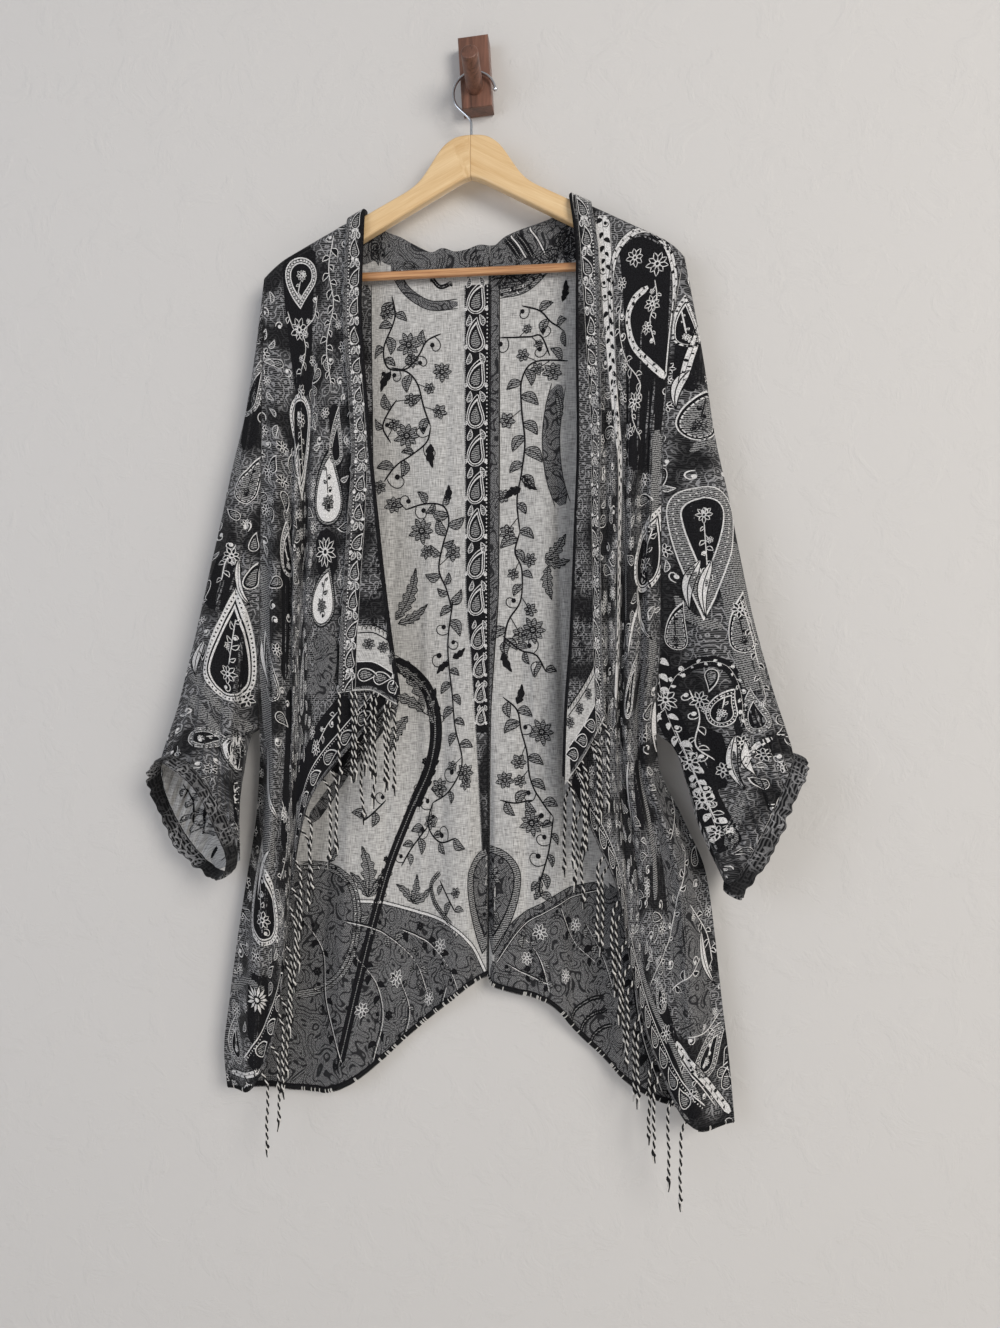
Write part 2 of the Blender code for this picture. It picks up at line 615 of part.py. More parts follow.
bpy.context.scene.collection.objects.link(bpy.data.objects.new("wall_plate", plate_mesh))

# Wall peg: a round peg tilted up, its root cut flat along the plate
PEG_SIDES = 28
peg_axis = np.array([0, -math.cos(PEG_TILT), math.sin(PEG_TILT)])
peg_up = np.array([0, math.sin(PEG_TILT), math.cos(PEG_TILT)])
peg_root = np.array([0, -PLATE_THICK - SEAM, -PEG_ROOT_DROP])
peg_turn = np.linspace(0, 2 * math.pi, PEG_SIDES, endpoint=False)[:, None]
peg_round = np.cos(peg_turn) * np.array([1.0, 0, 0]) + np.sin(peg_turn) * peg_up
peg_points = [peg_root + PEG_RADIUS * peg_round - peg_axis * (PEG_RADIUS * peg_round[:, 1:2] / peg_axis[1])]
for short_by, radius in ((1.2, PEG_RADIUS), (0.35, PEG_RADIUS - 0.35), (0, PEG_RADIUS - 1.2)):
    peg_points.append(peg_root + peg_axis * (PEG_LENGTH - short_by) + radius * peg_round)
peg_faces = [list(range(PEG_SIDES)), list(range(3 * PEG_SIDES, 4 * PEG_SIDES))]
for ring in range(3):
    for j in range(PEG_SIDES):
        k = (j + 1) % PEG_SIDES
        a, b = ring * PEG_SIDES, (ring + 1) * PEG_SIDES
        peg_faces.append([a + j, a + k, b + k, b + j])
make("wall_peg", np.concatenate(peg_points), peg_faces, walnut)

# Hanger hook: chrome wire from the crown up and round over the peg, with a ball at its end
peg_rise = (-PLATE_THICK - HANGER_Y + WIRE_RADIUS) * math.tan(PEG_TILT)
peg_top = -PEG_ROOT_DROP + peg_rise + PEG_RADIUS / math.cos(PEG_TILT)
hook_z = peg_top + SEAM + WIRE_RADIUS - HOOK_RADIUS
hook_path = [(HANGER_X, HANGER_Y, z) for z in (-CROWN_DROP + SEAM, -66, -60)]
for out, z in ((-3.8, -55.5), (-6.2, -51.3), (-9.8, -47.4), (-14.2, -43.2)):
    hook_path.append((out, HANGER_Y, z + hook_z + 25.75))
for degrees in range(215, 14, -12):
    a = math.radians(degrees)
    hook_path.append((HOOK_RADIUS * math.cos(a), HANGER_Y, hook_z + HOOK_RADIUS * math.sin(a)))
hook_radii = [WIRE_RADIUS] * len(hook_path)
end = np.array(hook_path[-1])
hook_path.append(tuple(end + np.array([0.3, 0, -1.2])))
hook_radii.append(WIRE_RADIUS)
for down, share in ((1.8, 0.9), (3.4, 1.0), (4.8, 0.8), (5.5, 0.3)):
    hook_path.append(tuple(end + np.array([0.25 * down, 0, -down])))
    hook_radii.append(TIP_RADIUS * share)
tube("hanger_hook", hook_path, hook_radii, 10, chrome)

# Hanger body: one flat piece of wood with a high crown and two straight arms, its edges eased
upper = [(row.out, CROWN_DROP + row.drop) for row in CROWN]
tip_top = float(arm_drop(HANGER_X + HANGER_HALF_WIDTH))
tip_bottom = APEX_DROP + LOWER_SLOPE * HANGER_HALF_WIDTH
upper += [(150.0, float(arm_drop(HANGER_X + 150.0))), (HANGER_HALF_WIDTH - 6, tip_top - 6 * ARM_SLOPE)]
round_tip = [(HANGER_HALF_WIDTH, tip_top + 5), (HANGER_HALF_WIDTH, tip_bottom - 8)]
round_tip.append((HANGER_HALF_WIDTH - 7, tip_bottom - 7 * LOWER_SLOPE))
lower = [(out, APEX_DROP + LOWER_SLOPE * out) for out in (100.0, 14.0)]
lower += [(7.0, APEX_DROP + 4.6), (0.0, APEX_DROP + 2.4)]
half = upper + round_tip + lower
outline = [(HANGER_X + out, -drop) for out, drop in half]
outline += [(HANGER_X - out, -drop) for out, drop in reversed(half[1:-1])]
wood = bmesh.new()
ring = [wood.verts.new((x * MM, (HANGER_Y - HANGER_HALF_THICK) * MM, z * MM)) for x, z in outline]
face = wood.faces.new(ring)
pushed = bmesh.ops.extrude_face_region(wood, geom=[face])
for vertex in [v for v in pushed["geom"] if isinstance(v, bmesh.types.BMVert)]:
    vertex.co.y += 2 * HANGER_HALF_THICK * MM
bmesh.ops.recalc_face_normals(wood, faces=wood.faces)
rims = [e for e in wood.edges if abs(e.verts[0].co.y - e.verts[1].co.y) < 1e-7]
bmesh.ops.bevel(wood, geom=rims, offset=HANGER_ROUND * MM, segments=2, profile=0.5, affect="EDGES")
bmesh.ops.triangulate(wood, faces=wood.faces)
wood_mesh = bpy.data.meshes.new("hanger_body")
wood.to_mesh(wood_mesh)
wood.free()
wood_mesh.materials.append(beech)
bpy.context.scene.collection.objects.link(bpy.data.objects.new("hanger_body", wood_mesh))

# Hanger bar: a dowel between the undersides of the arms, its ends cut along them
BAR_SIDES = 16
bar_turn = np.linspace(0, 2 * math.pi, BAR_SIDES, endpoint=False)
bar_points = []
for toward in (-1, 1):
    z = -BAR_DROP + BAR_RADIUS * np.sin(bar_turn)
    reach = (-z - APEX_DROP) / LOWER_SLOPE - 2 * SEAM
    y = HANGER_Y + BAR_RADIUS * np.cos(bar_turn)
    bar_points.append(np.stack([HANGER_X + toward * reach, y, z], axis=1))
bar_faces = [list(range(BAR_SIDES)), list(range(BAR_SIDES, 2 * BAR_SIDES))]
for j in range(BAR_SIDES):
    k = (j + 1) % BAR_SIDES
    bar_faces.append([j, k, BAR_SIDES + k, BAR_SIDES + j])
make("hanger_bar", np.concatenate(bar_points), bar_faces, dowel)

# Cloth: back halves, fronts with their lapels, sleeves, cuffs and fringes, each side from its own tables
for side in (LEFT, RIGHT):
    front = with_lapel(side, front_panel(side))
    back = back_panel(side)
    front_normals, back_normals = normals_of(front), normals_of(back)
    panel_top = front_normals[0, :PANEL_COLUMNS]
    panel_top[:] = np.array([0, 0, np.sign(panel_top[:, 2].sum())])
    on_arm = np.abs(back[0, :, 1] - HANGER_Y) < 1
    back_top = np.sign(back_normals[0, on_arm, 2].sum())
    back_normals[0, on_arm] = np.array([0, 0, back_top])
    back_normals[:, 0, 0] = 0
    back_normals[:, 0] /= np.linalg.norm(back_normals[:, 0], axis=1, keepdims=True)
    make_wall("front_" + side.name, front, front_normals, cloth)
    make_wall("back_" + side.name, back, back_normals, cloth)
    sleeve, first_normals = sleeve_grid(side, front, back, front_normals, back_normals)
    sleeve_normals = normals_of(sleeve, closed=True)
    agree = np.sign(np.sum(sleeve_normals[1] * first_normals, axis=1)[2:8].sum())
    seamed = np.abs(np.arange(sleeve.shape[1]) - sleeve.shape[1] / 2) > 1
    sleeve_normals[0, seamed] = first_normals[seamed] * agree
    if side.sleeve_halved:
        turned = (sleeve.shape[1] + 1) // 2
        columns = list(range(sleeve.shape[1])) + [0]
        for face, kept in (("front", columns[:turned]), ("back", columns[turned - 1:])):
            half, half_normals = sleeve_half(sleeve, sleeve_normals, kept)
            make_wall("sleeve_" + side.name + "_" + face, half, half_normals, cloth)
    else:
        make_wall("sleeve_" + side.name, sleeve, sleeve_normals, cloth, closed=True)
    cuff_piece(side, cloth)
    edge, out = edge_of(front, front_normals, HEMMED_COLUMNS, PANEL_COLUMNS)
    fringe_piece("fringe_front_" + side.name, edge, out, side.strands, 1, -side.toward, yarn)
    edge, out = edge_of(front, front_normals, PANEL_COLUMNS + 2, front.shape[1])
    fringe_piece("fringe_lapel_" + side.name, edge, out, side.lapel_strands, -1, 0, yarn)
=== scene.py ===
"""Looks of an open-front fringed wrap with gathered sleeves, on a wooden hanger that hangs from a wall peg.

The frame is in metres, +Z up, front to -Y, with the origin on the wall plane. Tables are in millimetres, a drop is
a distance below the origin, and left and right are the viewer's.
"""

import math
from collections import namedtuple

import bmesh
import bpy
import numpy as np
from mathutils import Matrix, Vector
from mathutils.kdtree import KDTree


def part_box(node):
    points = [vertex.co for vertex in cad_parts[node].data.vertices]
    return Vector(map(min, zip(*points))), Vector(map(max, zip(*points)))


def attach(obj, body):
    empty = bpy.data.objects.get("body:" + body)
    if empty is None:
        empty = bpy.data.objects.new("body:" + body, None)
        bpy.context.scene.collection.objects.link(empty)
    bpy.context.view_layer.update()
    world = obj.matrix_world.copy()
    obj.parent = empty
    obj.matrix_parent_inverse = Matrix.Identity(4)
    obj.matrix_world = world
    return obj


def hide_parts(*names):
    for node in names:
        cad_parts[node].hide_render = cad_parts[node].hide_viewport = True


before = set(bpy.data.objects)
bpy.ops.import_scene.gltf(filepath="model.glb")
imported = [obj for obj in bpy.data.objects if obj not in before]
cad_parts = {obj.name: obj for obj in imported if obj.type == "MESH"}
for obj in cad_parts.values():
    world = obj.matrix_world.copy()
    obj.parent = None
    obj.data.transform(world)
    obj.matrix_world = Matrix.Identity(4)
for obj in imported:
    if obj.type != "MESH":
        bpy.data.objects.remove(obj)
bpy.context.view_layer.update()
MM = 0.001

# Stage: the camera of the photograph, a large soft lamp from the right and a weaker one from the left, a pale
# plastered wall and a pale floor. The wall shows from its front only, so the back can be looked at too.
PHOTO_WIDTH = 1000
PHOTO_HEIGHT = 1328
FOCAL_PIXELS = 960
Lamp = namedtuple("Lamp", "name place target size watts tint")
LAMPS = [
    Lamp("key_lamp", (2.3, -3.0, 0.5), (0, 0, -0.6), 1.9, 108, "#fffaf3"),
    Lamp("fill_lamp", (-1.5, -1.9, -0.2), (0, 0, -0.6), 1.6, 15, "#e9f0ff"),
    Lamp("back_lamp", (0.4, 2.2, 0.4), (0, 0, -0.6), 1.8, 30, "#ffffff"),
]


def colour(hexed):
    """An sRGB hex value as linear RGBA."""
    levels = [int(hexed[i:i + 2], 16) / 255 for i in (1, 3, 5)]
    return (*[v / 12.92 if v <= 0.04045 else ((v + 0.055) / 1.055) ** 2.4 for v in levels], 1)


def add(tree, kind, inputs=(), **settings):
    """Adds one node to a shader or geometry tree, gives it its settings, and sets or links its inputs."""
    node = tree.nodes.new("ShaderNode" + kind if tree.type == "SHADER" else kind)
    for name, value in settings.items():
        setattr(node, name, value)
    for name, value in dict(inputs).items():
        if isinstance(value, bpy.types.NodeSocket):
            tree.links.new(value, node.inputs[name])
        else:
            node.inputs[name].default_value = value
    return node


def start_material(name, roughness, gloss=0.5):
    """A new material with its own tree: the material, the tree and its main shader."""
    material = bpy.data.materials.new(name)
    material.use_nodes = True
    shader = material.node_tree.nodes["Principled BSDF"]
    shader.inputs["Roughness"].default_value = roughness
    shader.inputs["Specular IOR Level"].default_value = gloss
    return material, material.node_tree, shader


scene = bpy.context.scene
camera_data = bpy.data.cameras.new("camera")
camera_data.sensor_width = 36
camera_data.lens = camera_data.sensor_width * FOCAL_PIXELS / PHOTO_HEIGHT
camera = bpy.data.objects.new("camera", camera_data)
camera.location = (0.1456, -1.0290, -0.6299)
camera.rotation_euler = (math.pi / 2, 0, math.radians(6.7))
scene.collection.objects.link(camera)
scene.camera = camera
scene.view_settings.view_transform = "Standard"

for row in LAMPS:
    lamp_data = bpy.data.lights.new(row.name, "AREA")
    lamp_data.shape = "DISK"
    lamp_data.size = row.size
    lamp_data.energy = row.watts
    lamp_data.color = colour(row.tint)[:3]
    lamp = bpy.data.objects.new(row.name, lamp_data)
    lamp.location = row.place
    away = lamp.location - Vector(row.target)
    lamp.rotation_euler = away.to_track_quat("Z", "Y").to_euler()
    scene.collection.objects.link(lamp)

world = bpy.data.worlds.new("studio")
world.use_nodes = True
world.node_tree.nodes["Background"].inputs["Color"].default_value = colour("#eef0f4")
world.node_tree.nodes["Background"].inputs["Strength"].default_value = 0.42
scene.world = world

# Painted plaster: trowelled, with low flat patches and a matt pale paint
plaster, tree, shader = start_material("painted_plaster", 0.85)
place = add(tree, "TexCoord").outputs["Object"]
patches = add(tree, "TexNoise", {"Vector": place, "Scale": 22.0, "Detail": 6.0, "Roughness": 0.62, "Distortion": 0.6})
lumps = add(tree, "TexNoise", {"Vector": place, "Scale": 160.0, "Detail": 3.0})
raised = add(tree, "MapRange", {"Value": patches.outputs["Fac"], 1: 0.5, 2: 0.62})
height = add(tree, "Math", {0: lumps.outputs["Fac"], 1: 0.3, 2: raised.outputs[0]}, operation="MULTIPLY_ADD")
bump = add(tree, "Bump", {"Height": height.outputs[0], "Strength": 0.3, "Distance": 0.0014})
tree.links.new(bump.outputs[0], shader.inputs["Normal"])
shader.inputs["Base Color"].default_value = colour("#c0bebc")
seen_through = add(tree, "BsdfTransparent")
facing = add(tree, "NewGeometry").outputs["Backfacing"]
one_sided = add(tree, "MixShader", {0: facing, 1: shader.outputs[0], 2: seen_through.outputs[0]})
tree.links.new(one_sided.outputs[0], tree.nodes["Material Output"].inputs["Surface"])

floor_paint, tree, shader = start_material("pale_floor_paint", 0.7)
shader.inputs["Base Color"].default_value = colour("#dedbd6")
FLOOR = -1.5
for name, corners, finish in (
    ("wall_backdrop", [(-4, 0.002, FLOOR), (4, 0.002, FLOOR), (4, 0.002, 2), (-4, 0.002, 2)], plaster),
    ("floor", [(-4, -4, FLOOR), (4, -4, FLOOR), (4, 4, FLOOR), (-4, 4, FLOOR)], floor_paint),
):
    mesh = bpy.data.meshes.new(name)
    mesh.from_pydata(corners, [], [(0, 1, 2, 3)])
    mesh.materials.append(finish)
    sheet = bpy.data.objects.new(name, mesh)
    scene.collection.objects.link(sheet)
    sheet.visible_shadow = name == "floor"  # lamps behind the wall reach the back of the cloth

# Wall plate: a walnut block fixed flat to the wall, sawn along the grain, its front edges eased and oiled.
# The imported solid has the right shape, so it stays and only gets its finish.
walnut, tree, shader = start_material("oiled_walnut", 0.42)
place = add(tree, "TexCoord").outputs["Object"]
along = add(tree, "Mapping", {"Vector": place, "Rotation": (0, math.radians(3.45), 0), "Scale": (1, 1, 0.06)})
pores = add(tree, "TexNoise", {"Vector": along.outputs[0], "Scale": 900.0, "Detail": 3.0})
figure = add(tree, "TexNoise", {"Vector": along.outputs[0], "Scale": 130.0, "Detail": 4.0, "Distortion": 0.8})
grain = add(tree, "Math", {0: pores.outputs["Fac"], 1: 0.45, 2: figure.outputs["Fac"]}, operation="MULTIPLY_ADD")
ramp = add(tree, "ValToRGB", {"Fac": grain.outputs[0]})
ramp.color_ramp.elements[0].position, ramp.color_ramp.elements[0].color = 0.45, colour("#3b251b")
ramp.color_ramp.elements[1].position, ramp.color_ramp.elements[1].color = 0.95, colour("#7a5343")
tree.links.new(ramp.outputs[0], shader.inputs["Base Color"])
bump = add(tree, "Bump", {"Height": pores.outputs["Fac"], "Strength": 0.12, "Distance": 0.0004})
tree.links.new(bump.outputs[0], shader.inputs["Normal"])
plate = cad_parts["wall_plate"]
plate.data.materials.clear()
plate.data.materials.append(walnut)

# Wall peg: a turned walnut peg glued into the plate at an upward slant, its end rim softened by sanding.
PEG_SIDES = 56
PEG_RADIUS = 9.0
PEG_LENGTH = 42.0
PEG_TILT = math.radians(17.0)
PEG_ROOT = np.array([0, -19.3, -16.3])
PEG_RIM = 1.4


def make(name, points, faces, finishes, slots=None, uvs=None, sharp=40, thin=False):
    """A piece from points in millimetres, its faces turned outward unless it is a thin layer, on the only body."""
    mesh = bpy.data.meshes.new(name)
    mesh.from_pydata((np.asarray(points, float) * MM).tolist(), [], faces)
    for finish in finishes:
        mesh.materials.append(finish)
    if slots is not None:
        mesh.polygons.foreach_set("material_index", np.asarray(slots, np.int32))
    if uvs is not None:
        layer = mesh.uv_layers.new(name="flat_cloth")
        layer.data.foreach_set("uv", np.asarray(uvs, np.float32).ravel())
    if not thin:
        shape = bmesh.new()
        shape.from_mesh(mesh)
        bmesh.ops.recalc_face_normals(shape, faces=shape.faces)
        shape.to_mesh(mesh)
        shape.free()
    mesh.polygons.foreach_set("use_smooth", np.ones(len(mesh.polygons), bool))
    mesh.set_sharp_from_angle(angle=math.radians(sharp))
    piece = bpy.data.objects.new(name, mesh)
    scene.collection.objects.link(piece)
    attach(piece, "root")
    return piece


def lofted(rings):
    """The points and faces of a closed bar through rings of points, capped at both ends."""
    count, sides = rings.shape[:2]
    first = (np.arange(count - 1) * sides)[:, None]
    here, beside = np.arange(sides)[None, :], (np.arange(sides) + 1)[None, :] % sides
    quads = np.stack([first + here, first + beside, first + sides + beside, first + sides + here], axis=-1)
    faces = quads.reshape(-1, 4).tolist()
    faces += [list(range(sides)), list(range((count - 1) * sides, count * sides))]
    return rings.reshape(-1, 3), faces


peg_axis = np.array([0, -math.cos(PEG_TILT), math.sin(PEG_TILT)])
peg_up = np.array([0, math.sin(PEG_TILT), math.cos(PEG_TILT)])
turn = np.linspace(0, 2 * math.pi, PEG_SIDES, endpoint=False)[:, None]
peg_round = np.cos(turn) * np.array([1.0, 0, 0]) + np.sin(turn) * peg_up
rings = [PEG_ROOT + PEG_RADIUS * peg_round - peg_axis * (PEG_RADIUS * peg_round[:, 1:2] / peg_axis[1])]
for angle in np.linspace(0, math.pi / 2, 6):
    length = PEG_LENGTH - PEG_RIM + PEG_RIM * math.sin(angle)
    rings.append(PEG_ROOT + peg_axis * length + (PEG_RADIUS - PEG_RIM + PEG_RIM * math.cos(angle)) * peg_round)
for share in (0.6, 0.25):
    rings.append(PEG_ROOT + peg_axis * PEG_LENGTH + PEG_RADIUS * share * peg_round)
peg = make("wall_peg_turned", *lofted(np.array(rings)), [walnut])
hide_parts("wall_peg")

# Hanger hook: bent steel wire, chromed and bright, screwed into the crown, with a ball formed on its end.
WIRE_RADIUS = 1.5
HOOK_RADIUS = 22.5
HANGER_X = -3.0
HANGER_Y = -23.5
CROWN_DROP = 72.0
TIP_RADIUS = 2.4
HOOK_SIDES = 18
hook_top = np.array(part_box("hanger_hook")[1])[2] / MM
hook_middle = hook_top - WIRE_RADIUS - HOOK_RADIUS


def unit(vectors):
    """The same directions, each of length 1."""
    return vectors / np.linalg.norm(vectors, axis=-1, keepdims=True)


def run_of(path):
    """How far along a path each of its points lies."""
    return np.concatenate([[0], np.cumsum(np.linalg.norm(np.diff(path, axis=0), axis=1))])


def stepped(path, run, at):
    """A path's place at one length along it or at several."""
    return np.stack([np.interp(at, run, column) for column in path.T], axis=-1)


def smoothed(points, count):
    """Evenly stepped points on a smooth curve through a few points."""
    points = np.asarray(points, float)
    padded = np.concatenate([2 * points[:1] - points[1:2], points, 2 * points[-1:] - points[-2:-1]])
    at = np.linspace(0, len(points) - 1, max(count * 4, 60))
    i = np.minimum(at.astype(int), len(points) - 2)
    s = (at - i)[:, None]
    a, b, c, d = (padded[i + k] for k in range(4))
    path = 0.5 * (2 * b + (c - a) * s + (2 * a - 5 * b + 4 * c - d) * s ** 2 + (3 * b - a - 3 * c + d) * s ** 3)
    run = run_of(path)
    return stepped(path, run, np.linspace(0, run[-1], count))


def tubed(path, radii, sides, across=(0.0, 1.0, 0.0)):
    """Rings of points round a path, each square to it."""
    across = np.asarray(across, float)
    run = unit(np.gradient(path, axis=0))
    other = unit(np.cross(run, across))
    first = np.cross(other, run)
    turn = np.linspace(0, 2 * math.pi, sides, endpoint=False)[None, :, None]
    radii = np.broadcast_to(radii, len(path))[:, None, None]
    return path[:, None] + radii * (np.cos(turn) * first[:, None] + np.sin(turn) * other[:, None])


chrome, tree, shader = start_material("chromed_steel_wire", 0.14)
shader.inputs["Base Color"].default_value = colour("#c9cbce")
shader.inputs["Metallic"].default_value = 1.0
scuffs = add(tree, "TexNoise", {"Vector": add(tree, "TexCoord").outputs["Object"], "Scale": 700.0, "Detail": 2.0})
dulled = add(tree, "MapRange", {"Value": scuffs.outputs["Fac"], 3: 0.1, 4: 0.24})
tree.links.new(dulled.outputs[0], shader.inputs["Roughness"])
stem = [(HANGER_X, z) for z in (-CROWN_DROP + 0.3, -66, -60)]
stem += [(out, z + hook_middle + 25.75) for out, z in ((-3.8, -55.5), (-6.2, -51.3), (-9.8, -47.4), (-14.2, -43.2))]
for degrees in range(215, 14, -10):
    angle = math.radians(degrees)
    stem.append((HOOK_RADIUS * math.cos(angle), hook_middle + HOOK_RADIUS * math.sin(angle)))
bend = smoothed(stem, 110)
tip_run = np.array([0.25, -1.0]) / math.hypot(0.25, 1.0)
tip_steps = np.linspace(0.6, 5.4, 9)
bend = np.concatenate([bend, bend[-1] + tip_steps[:, None] * tip_run])
ball = np.sqrt(np.maximum(0.08, 1 - ((tip_steps - 3.2) / TIP_RADIUS) ** 2)) * TIP_RADIUS
radii = np.concatenate([np.full(110, WIRE_RADIUS), np.maximum(ball, np.where(tip_steps < 2, WIRE_RADIUS, 0))])
hook_path = np.stack([bend[:, 0], np.full(len(bend), HANGER_Y), bend[:, 1]], axis=1)
hook = make("hanger_hook_wire", *lofted(tubed(hook_path, radii, HOOK_SIDES)), [chrome])
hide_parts("hanger_hook")

# Hanger body: two arms of pale beech, glued in the middle, shaped flat with rounded edges and lacquered.
# The grain runs along each arm, and the glue line shows as a thin dark line down the crown.
Crown = namedtuple("Crown", "out drop")
CROWN = [
    Crown(0, 0), Crown(9, 0.5), Crown(17, 2.2), Crown(24, 6.0), Crown(30, 11.0), Crown(36, 18.5),
    Crown(42, 27.5), Crown(48, 36.5), Crown(54, 44.3), Crown(61, 50.8), Crown(70, 56.6), Crown(82, 62.8),
]
HANGER_HALF_THICK = 6.5
HANGER_HALF_WIDTH = 215.0
APEX_DROP = 114.1
ARM_SLOPE = 0.51
LOWER_SLOPE = 0.542
HANGER_ROUND = 3.2


def arm_drop(x):
    """The drop of the hanger's upper edge along its straight arms."""
    out = np.abs(np.asarray(x, float) - HANGER_X)
    return CROWN_DROP + CROWN[-1].drop + ARM_SLOPE * (out - CROWN[-1].out)


beech, tree, shader = start_material("lacquered_beech", 0.38)
grain_map = add(tree, "UVMap", uv_map="flat_cloth").outputs[0]
long_grain = add(tree, "Mapping", {"Vector": grain_map, "Scale": (0.05, 1, 1)})
rays = add(tree, "TexNoise", {"Vector": long_grain.outputs[0], "Scale": 700.0, "Detail": 3.0})
cloud = add(tree, "TexNoise", {"Vector": long_grain.outputs[0], "Scale": 90.0, "Detail": 3.0, "Distortion": 0.5})
grain = add(tree, "Math", {0: rays.outputs["Fac"], 1: 0.5, 2: cloud.outputs["Fac"]}, operation="MULTIPLY_ADD")
ramp = add(tree, "ValToRGB", {"Fac": grain.outputs[0]})
ramp.color_ramp.elements[0].position, ramp.color_ramp.elements[0].color = 0.45, colour("#be9866")
ramp.color_ramp.elements[1].position, ramp.color_ramp.elements[1].color = 0.95, colour("#d9bd92")
across = add(tree, "SeparateXYZ", {0: add(tree, "TexCoord").outputs["Object"]})
from_glue = add(tree, "Math", {0: across.outputs["X"], 1: -HANGER_X * MM}, operation="ADD")
near_glue = add(tree, "Math", {0: from_glue.outputs[0]}, operation="ABSOLUTE")
glue = add(tree, "MapRange", {"Value": near_glue.outputs[0], 1: 0.0003, 2: 0.0006, 3: 0.6, 4: 0.0})
wood = add(tree, "Mix", {0: glue.outputs[0], 6: ramp.outputs[0], 7: colour("#8f6535")}, data_type="RGBA")
tree.links.new(wood.outputs[2], shader.inputs["Base Color"])
shader.inputs["Coat Weight"].default_value = 0.25
bump = add(tree, "Bump", {"Height": rays.outputs["Fac"], "Strength": 0.06, "Distance": 0.0003})
tree.links.new(bump.outputs[0], shader.inputs["Normal"])

crown_points = smoothed([(row.out, row.drop + CROWN_DROP) for row in CROWN], 40)
tip_top = float(arm_drop(HANGER_X + HANGER_HALF_WIDTH))
tip_bottom = APEX_DROP + LOWER_SLOPE * HANGER_HALF_WIDTH
half = [tuple(point) for point in crown_points]
half += [(150.0, float(arm_drop(HANGER_X + 150.0))), (HANGER_HALF_WIDTH - 6, tip_top - 6 * ARM_SLOPE)]
half += [(HANGER_HALF_WIDTH, tip_top + 5), (HANGER_HALF_WIDTH, tip_bottom - 8)]
half += [(HANGER_HALF_WIDTH - 7, tip_bottom - 7 * LOWER_SLOPE)]
half += [(out, APEX_DROP + LOWER_SLOPE * out) for out in (100.0, 14.0)]
half += [(7.0, APEX_DROP + 4.6), (0.0, APEX_DROP + 2.4)]
outline = [(HANGER_X + out, -drop) for out, drop in half]
outline += [(HANGER_X - out, -drop) for out, drop in reversed(half[1:-1])]
wooden = bmesh.new()
face = wooden.faces.new([wooden.verts.new((x, HANGER_Y - HANGER_HALF_THICK, z)) for x, z in outline])
pushed = bmesh.ops.extrude_face_region(wooden, geom=[face])
for vertex in [v for v in pushed["geom"] if isinstance(v, bmesh.types.BMVert)]:
    vertex.co.y += 2 * HANGER_HALF_THICK
bmesh.ops.recalc_face_normals(wooden, faces=wooden.faces)
rims = [e for e in wooden.edges if abs(e.verts[0].co.y - e.verts[1].co.y) < 1e-4]
bmesh.ops.bevel(wooden, geom=rims, offset=HANGER_ROUND, segments=5, profile=0.5, affect="EDGES")
bmesh.ops.triangulate(wooden, faces=[f for f in wooden.faces if len(f.verts) > 4])
wooden.verts.index_update()
points = np.array([v.co for v in wooden.verts])
faces = [[v.index for v in f.verts] for f in wooden.faces]
wooden.free()
slant = math.atan(ARM_SLOPE)
out = np.abs(points[:, 0] - HANGER_X)
along_arm = out * math.cos(slant) - points[:, 2] * math.sin(slant) + np.where(points[:, 0] < HANGER_X, 700, 0)
across_arm = -points[:, 2] * math.cos(slant) - out * math.sin(slant) + points[:, 1]
grain_uv = np.stack([along_arm, across_arm], axis=1) * MM
hanger = make("hanger_body_wood", points, faces, [beech], uvs=grain_uv[[v for f in faces for v in f]], sharp=30)
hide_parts("hanger_body")

# Hanger bar: a thin dowel let into the arms, stained reddish and varnished, with streaks along the grain.
BAR_DROP = 215.0
BAR_RADIUS = 4.5
BAR_SIDES = 32
stained, tree, shader = start_material("stained_dowel", 0.3)
place = add(tree, "TexCoord").outputs["Object"]
along = add(tree, "Mapping", {"Vector": place, "Scale": (0.03, 1, 1)})
streaks = add(tree, "TexNoise", {"Vector": along.outputs[0], "Scale": 600.0, "Detail": 4.0, "Distortion": 0.4})
ramp = add(tree, "ValToRGB", {"Fac": streaks.outputs["Fac"]})
ramp.color_ramp.elements[0].position, ramp.color_ramp.elements[0].color = 0.3, colour("#8a5a38")
ramp.color_ramp.elements[1].position, ramp.color_ramp.elements[1].color = 0.75, colour("#cf9f70")
tree.links.new(ramp.outputs[0], shader.inputs["Base Color"])
shader.inputs["Coat Weight"].default_value = 0.4
bar_turn = np.linspace(0, 2 * math.pi, BAR_SIDES, endpoint=False)
rings = []
for toward in (-1, 1):
    z = -BAR_DROP + BAR_RADIUS * np.sin(bar_turn)
    reach = (-z - APEX_DROP) / LOWER_SLOPE - 0.5
    rings.append(np.stack([HANGER_X + toward * reach, HANGER_Y + BAR_RADIUS * np.cos(bar_turn), z], axis=1))
shares = np.linspace(0, 1, 24)[:, None, None]
bar = make("hanger_bar_dowel", *lofted(rings[0] + (rings[1] - rings[0]) * shares), [stained])
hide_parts("hanger_bar")

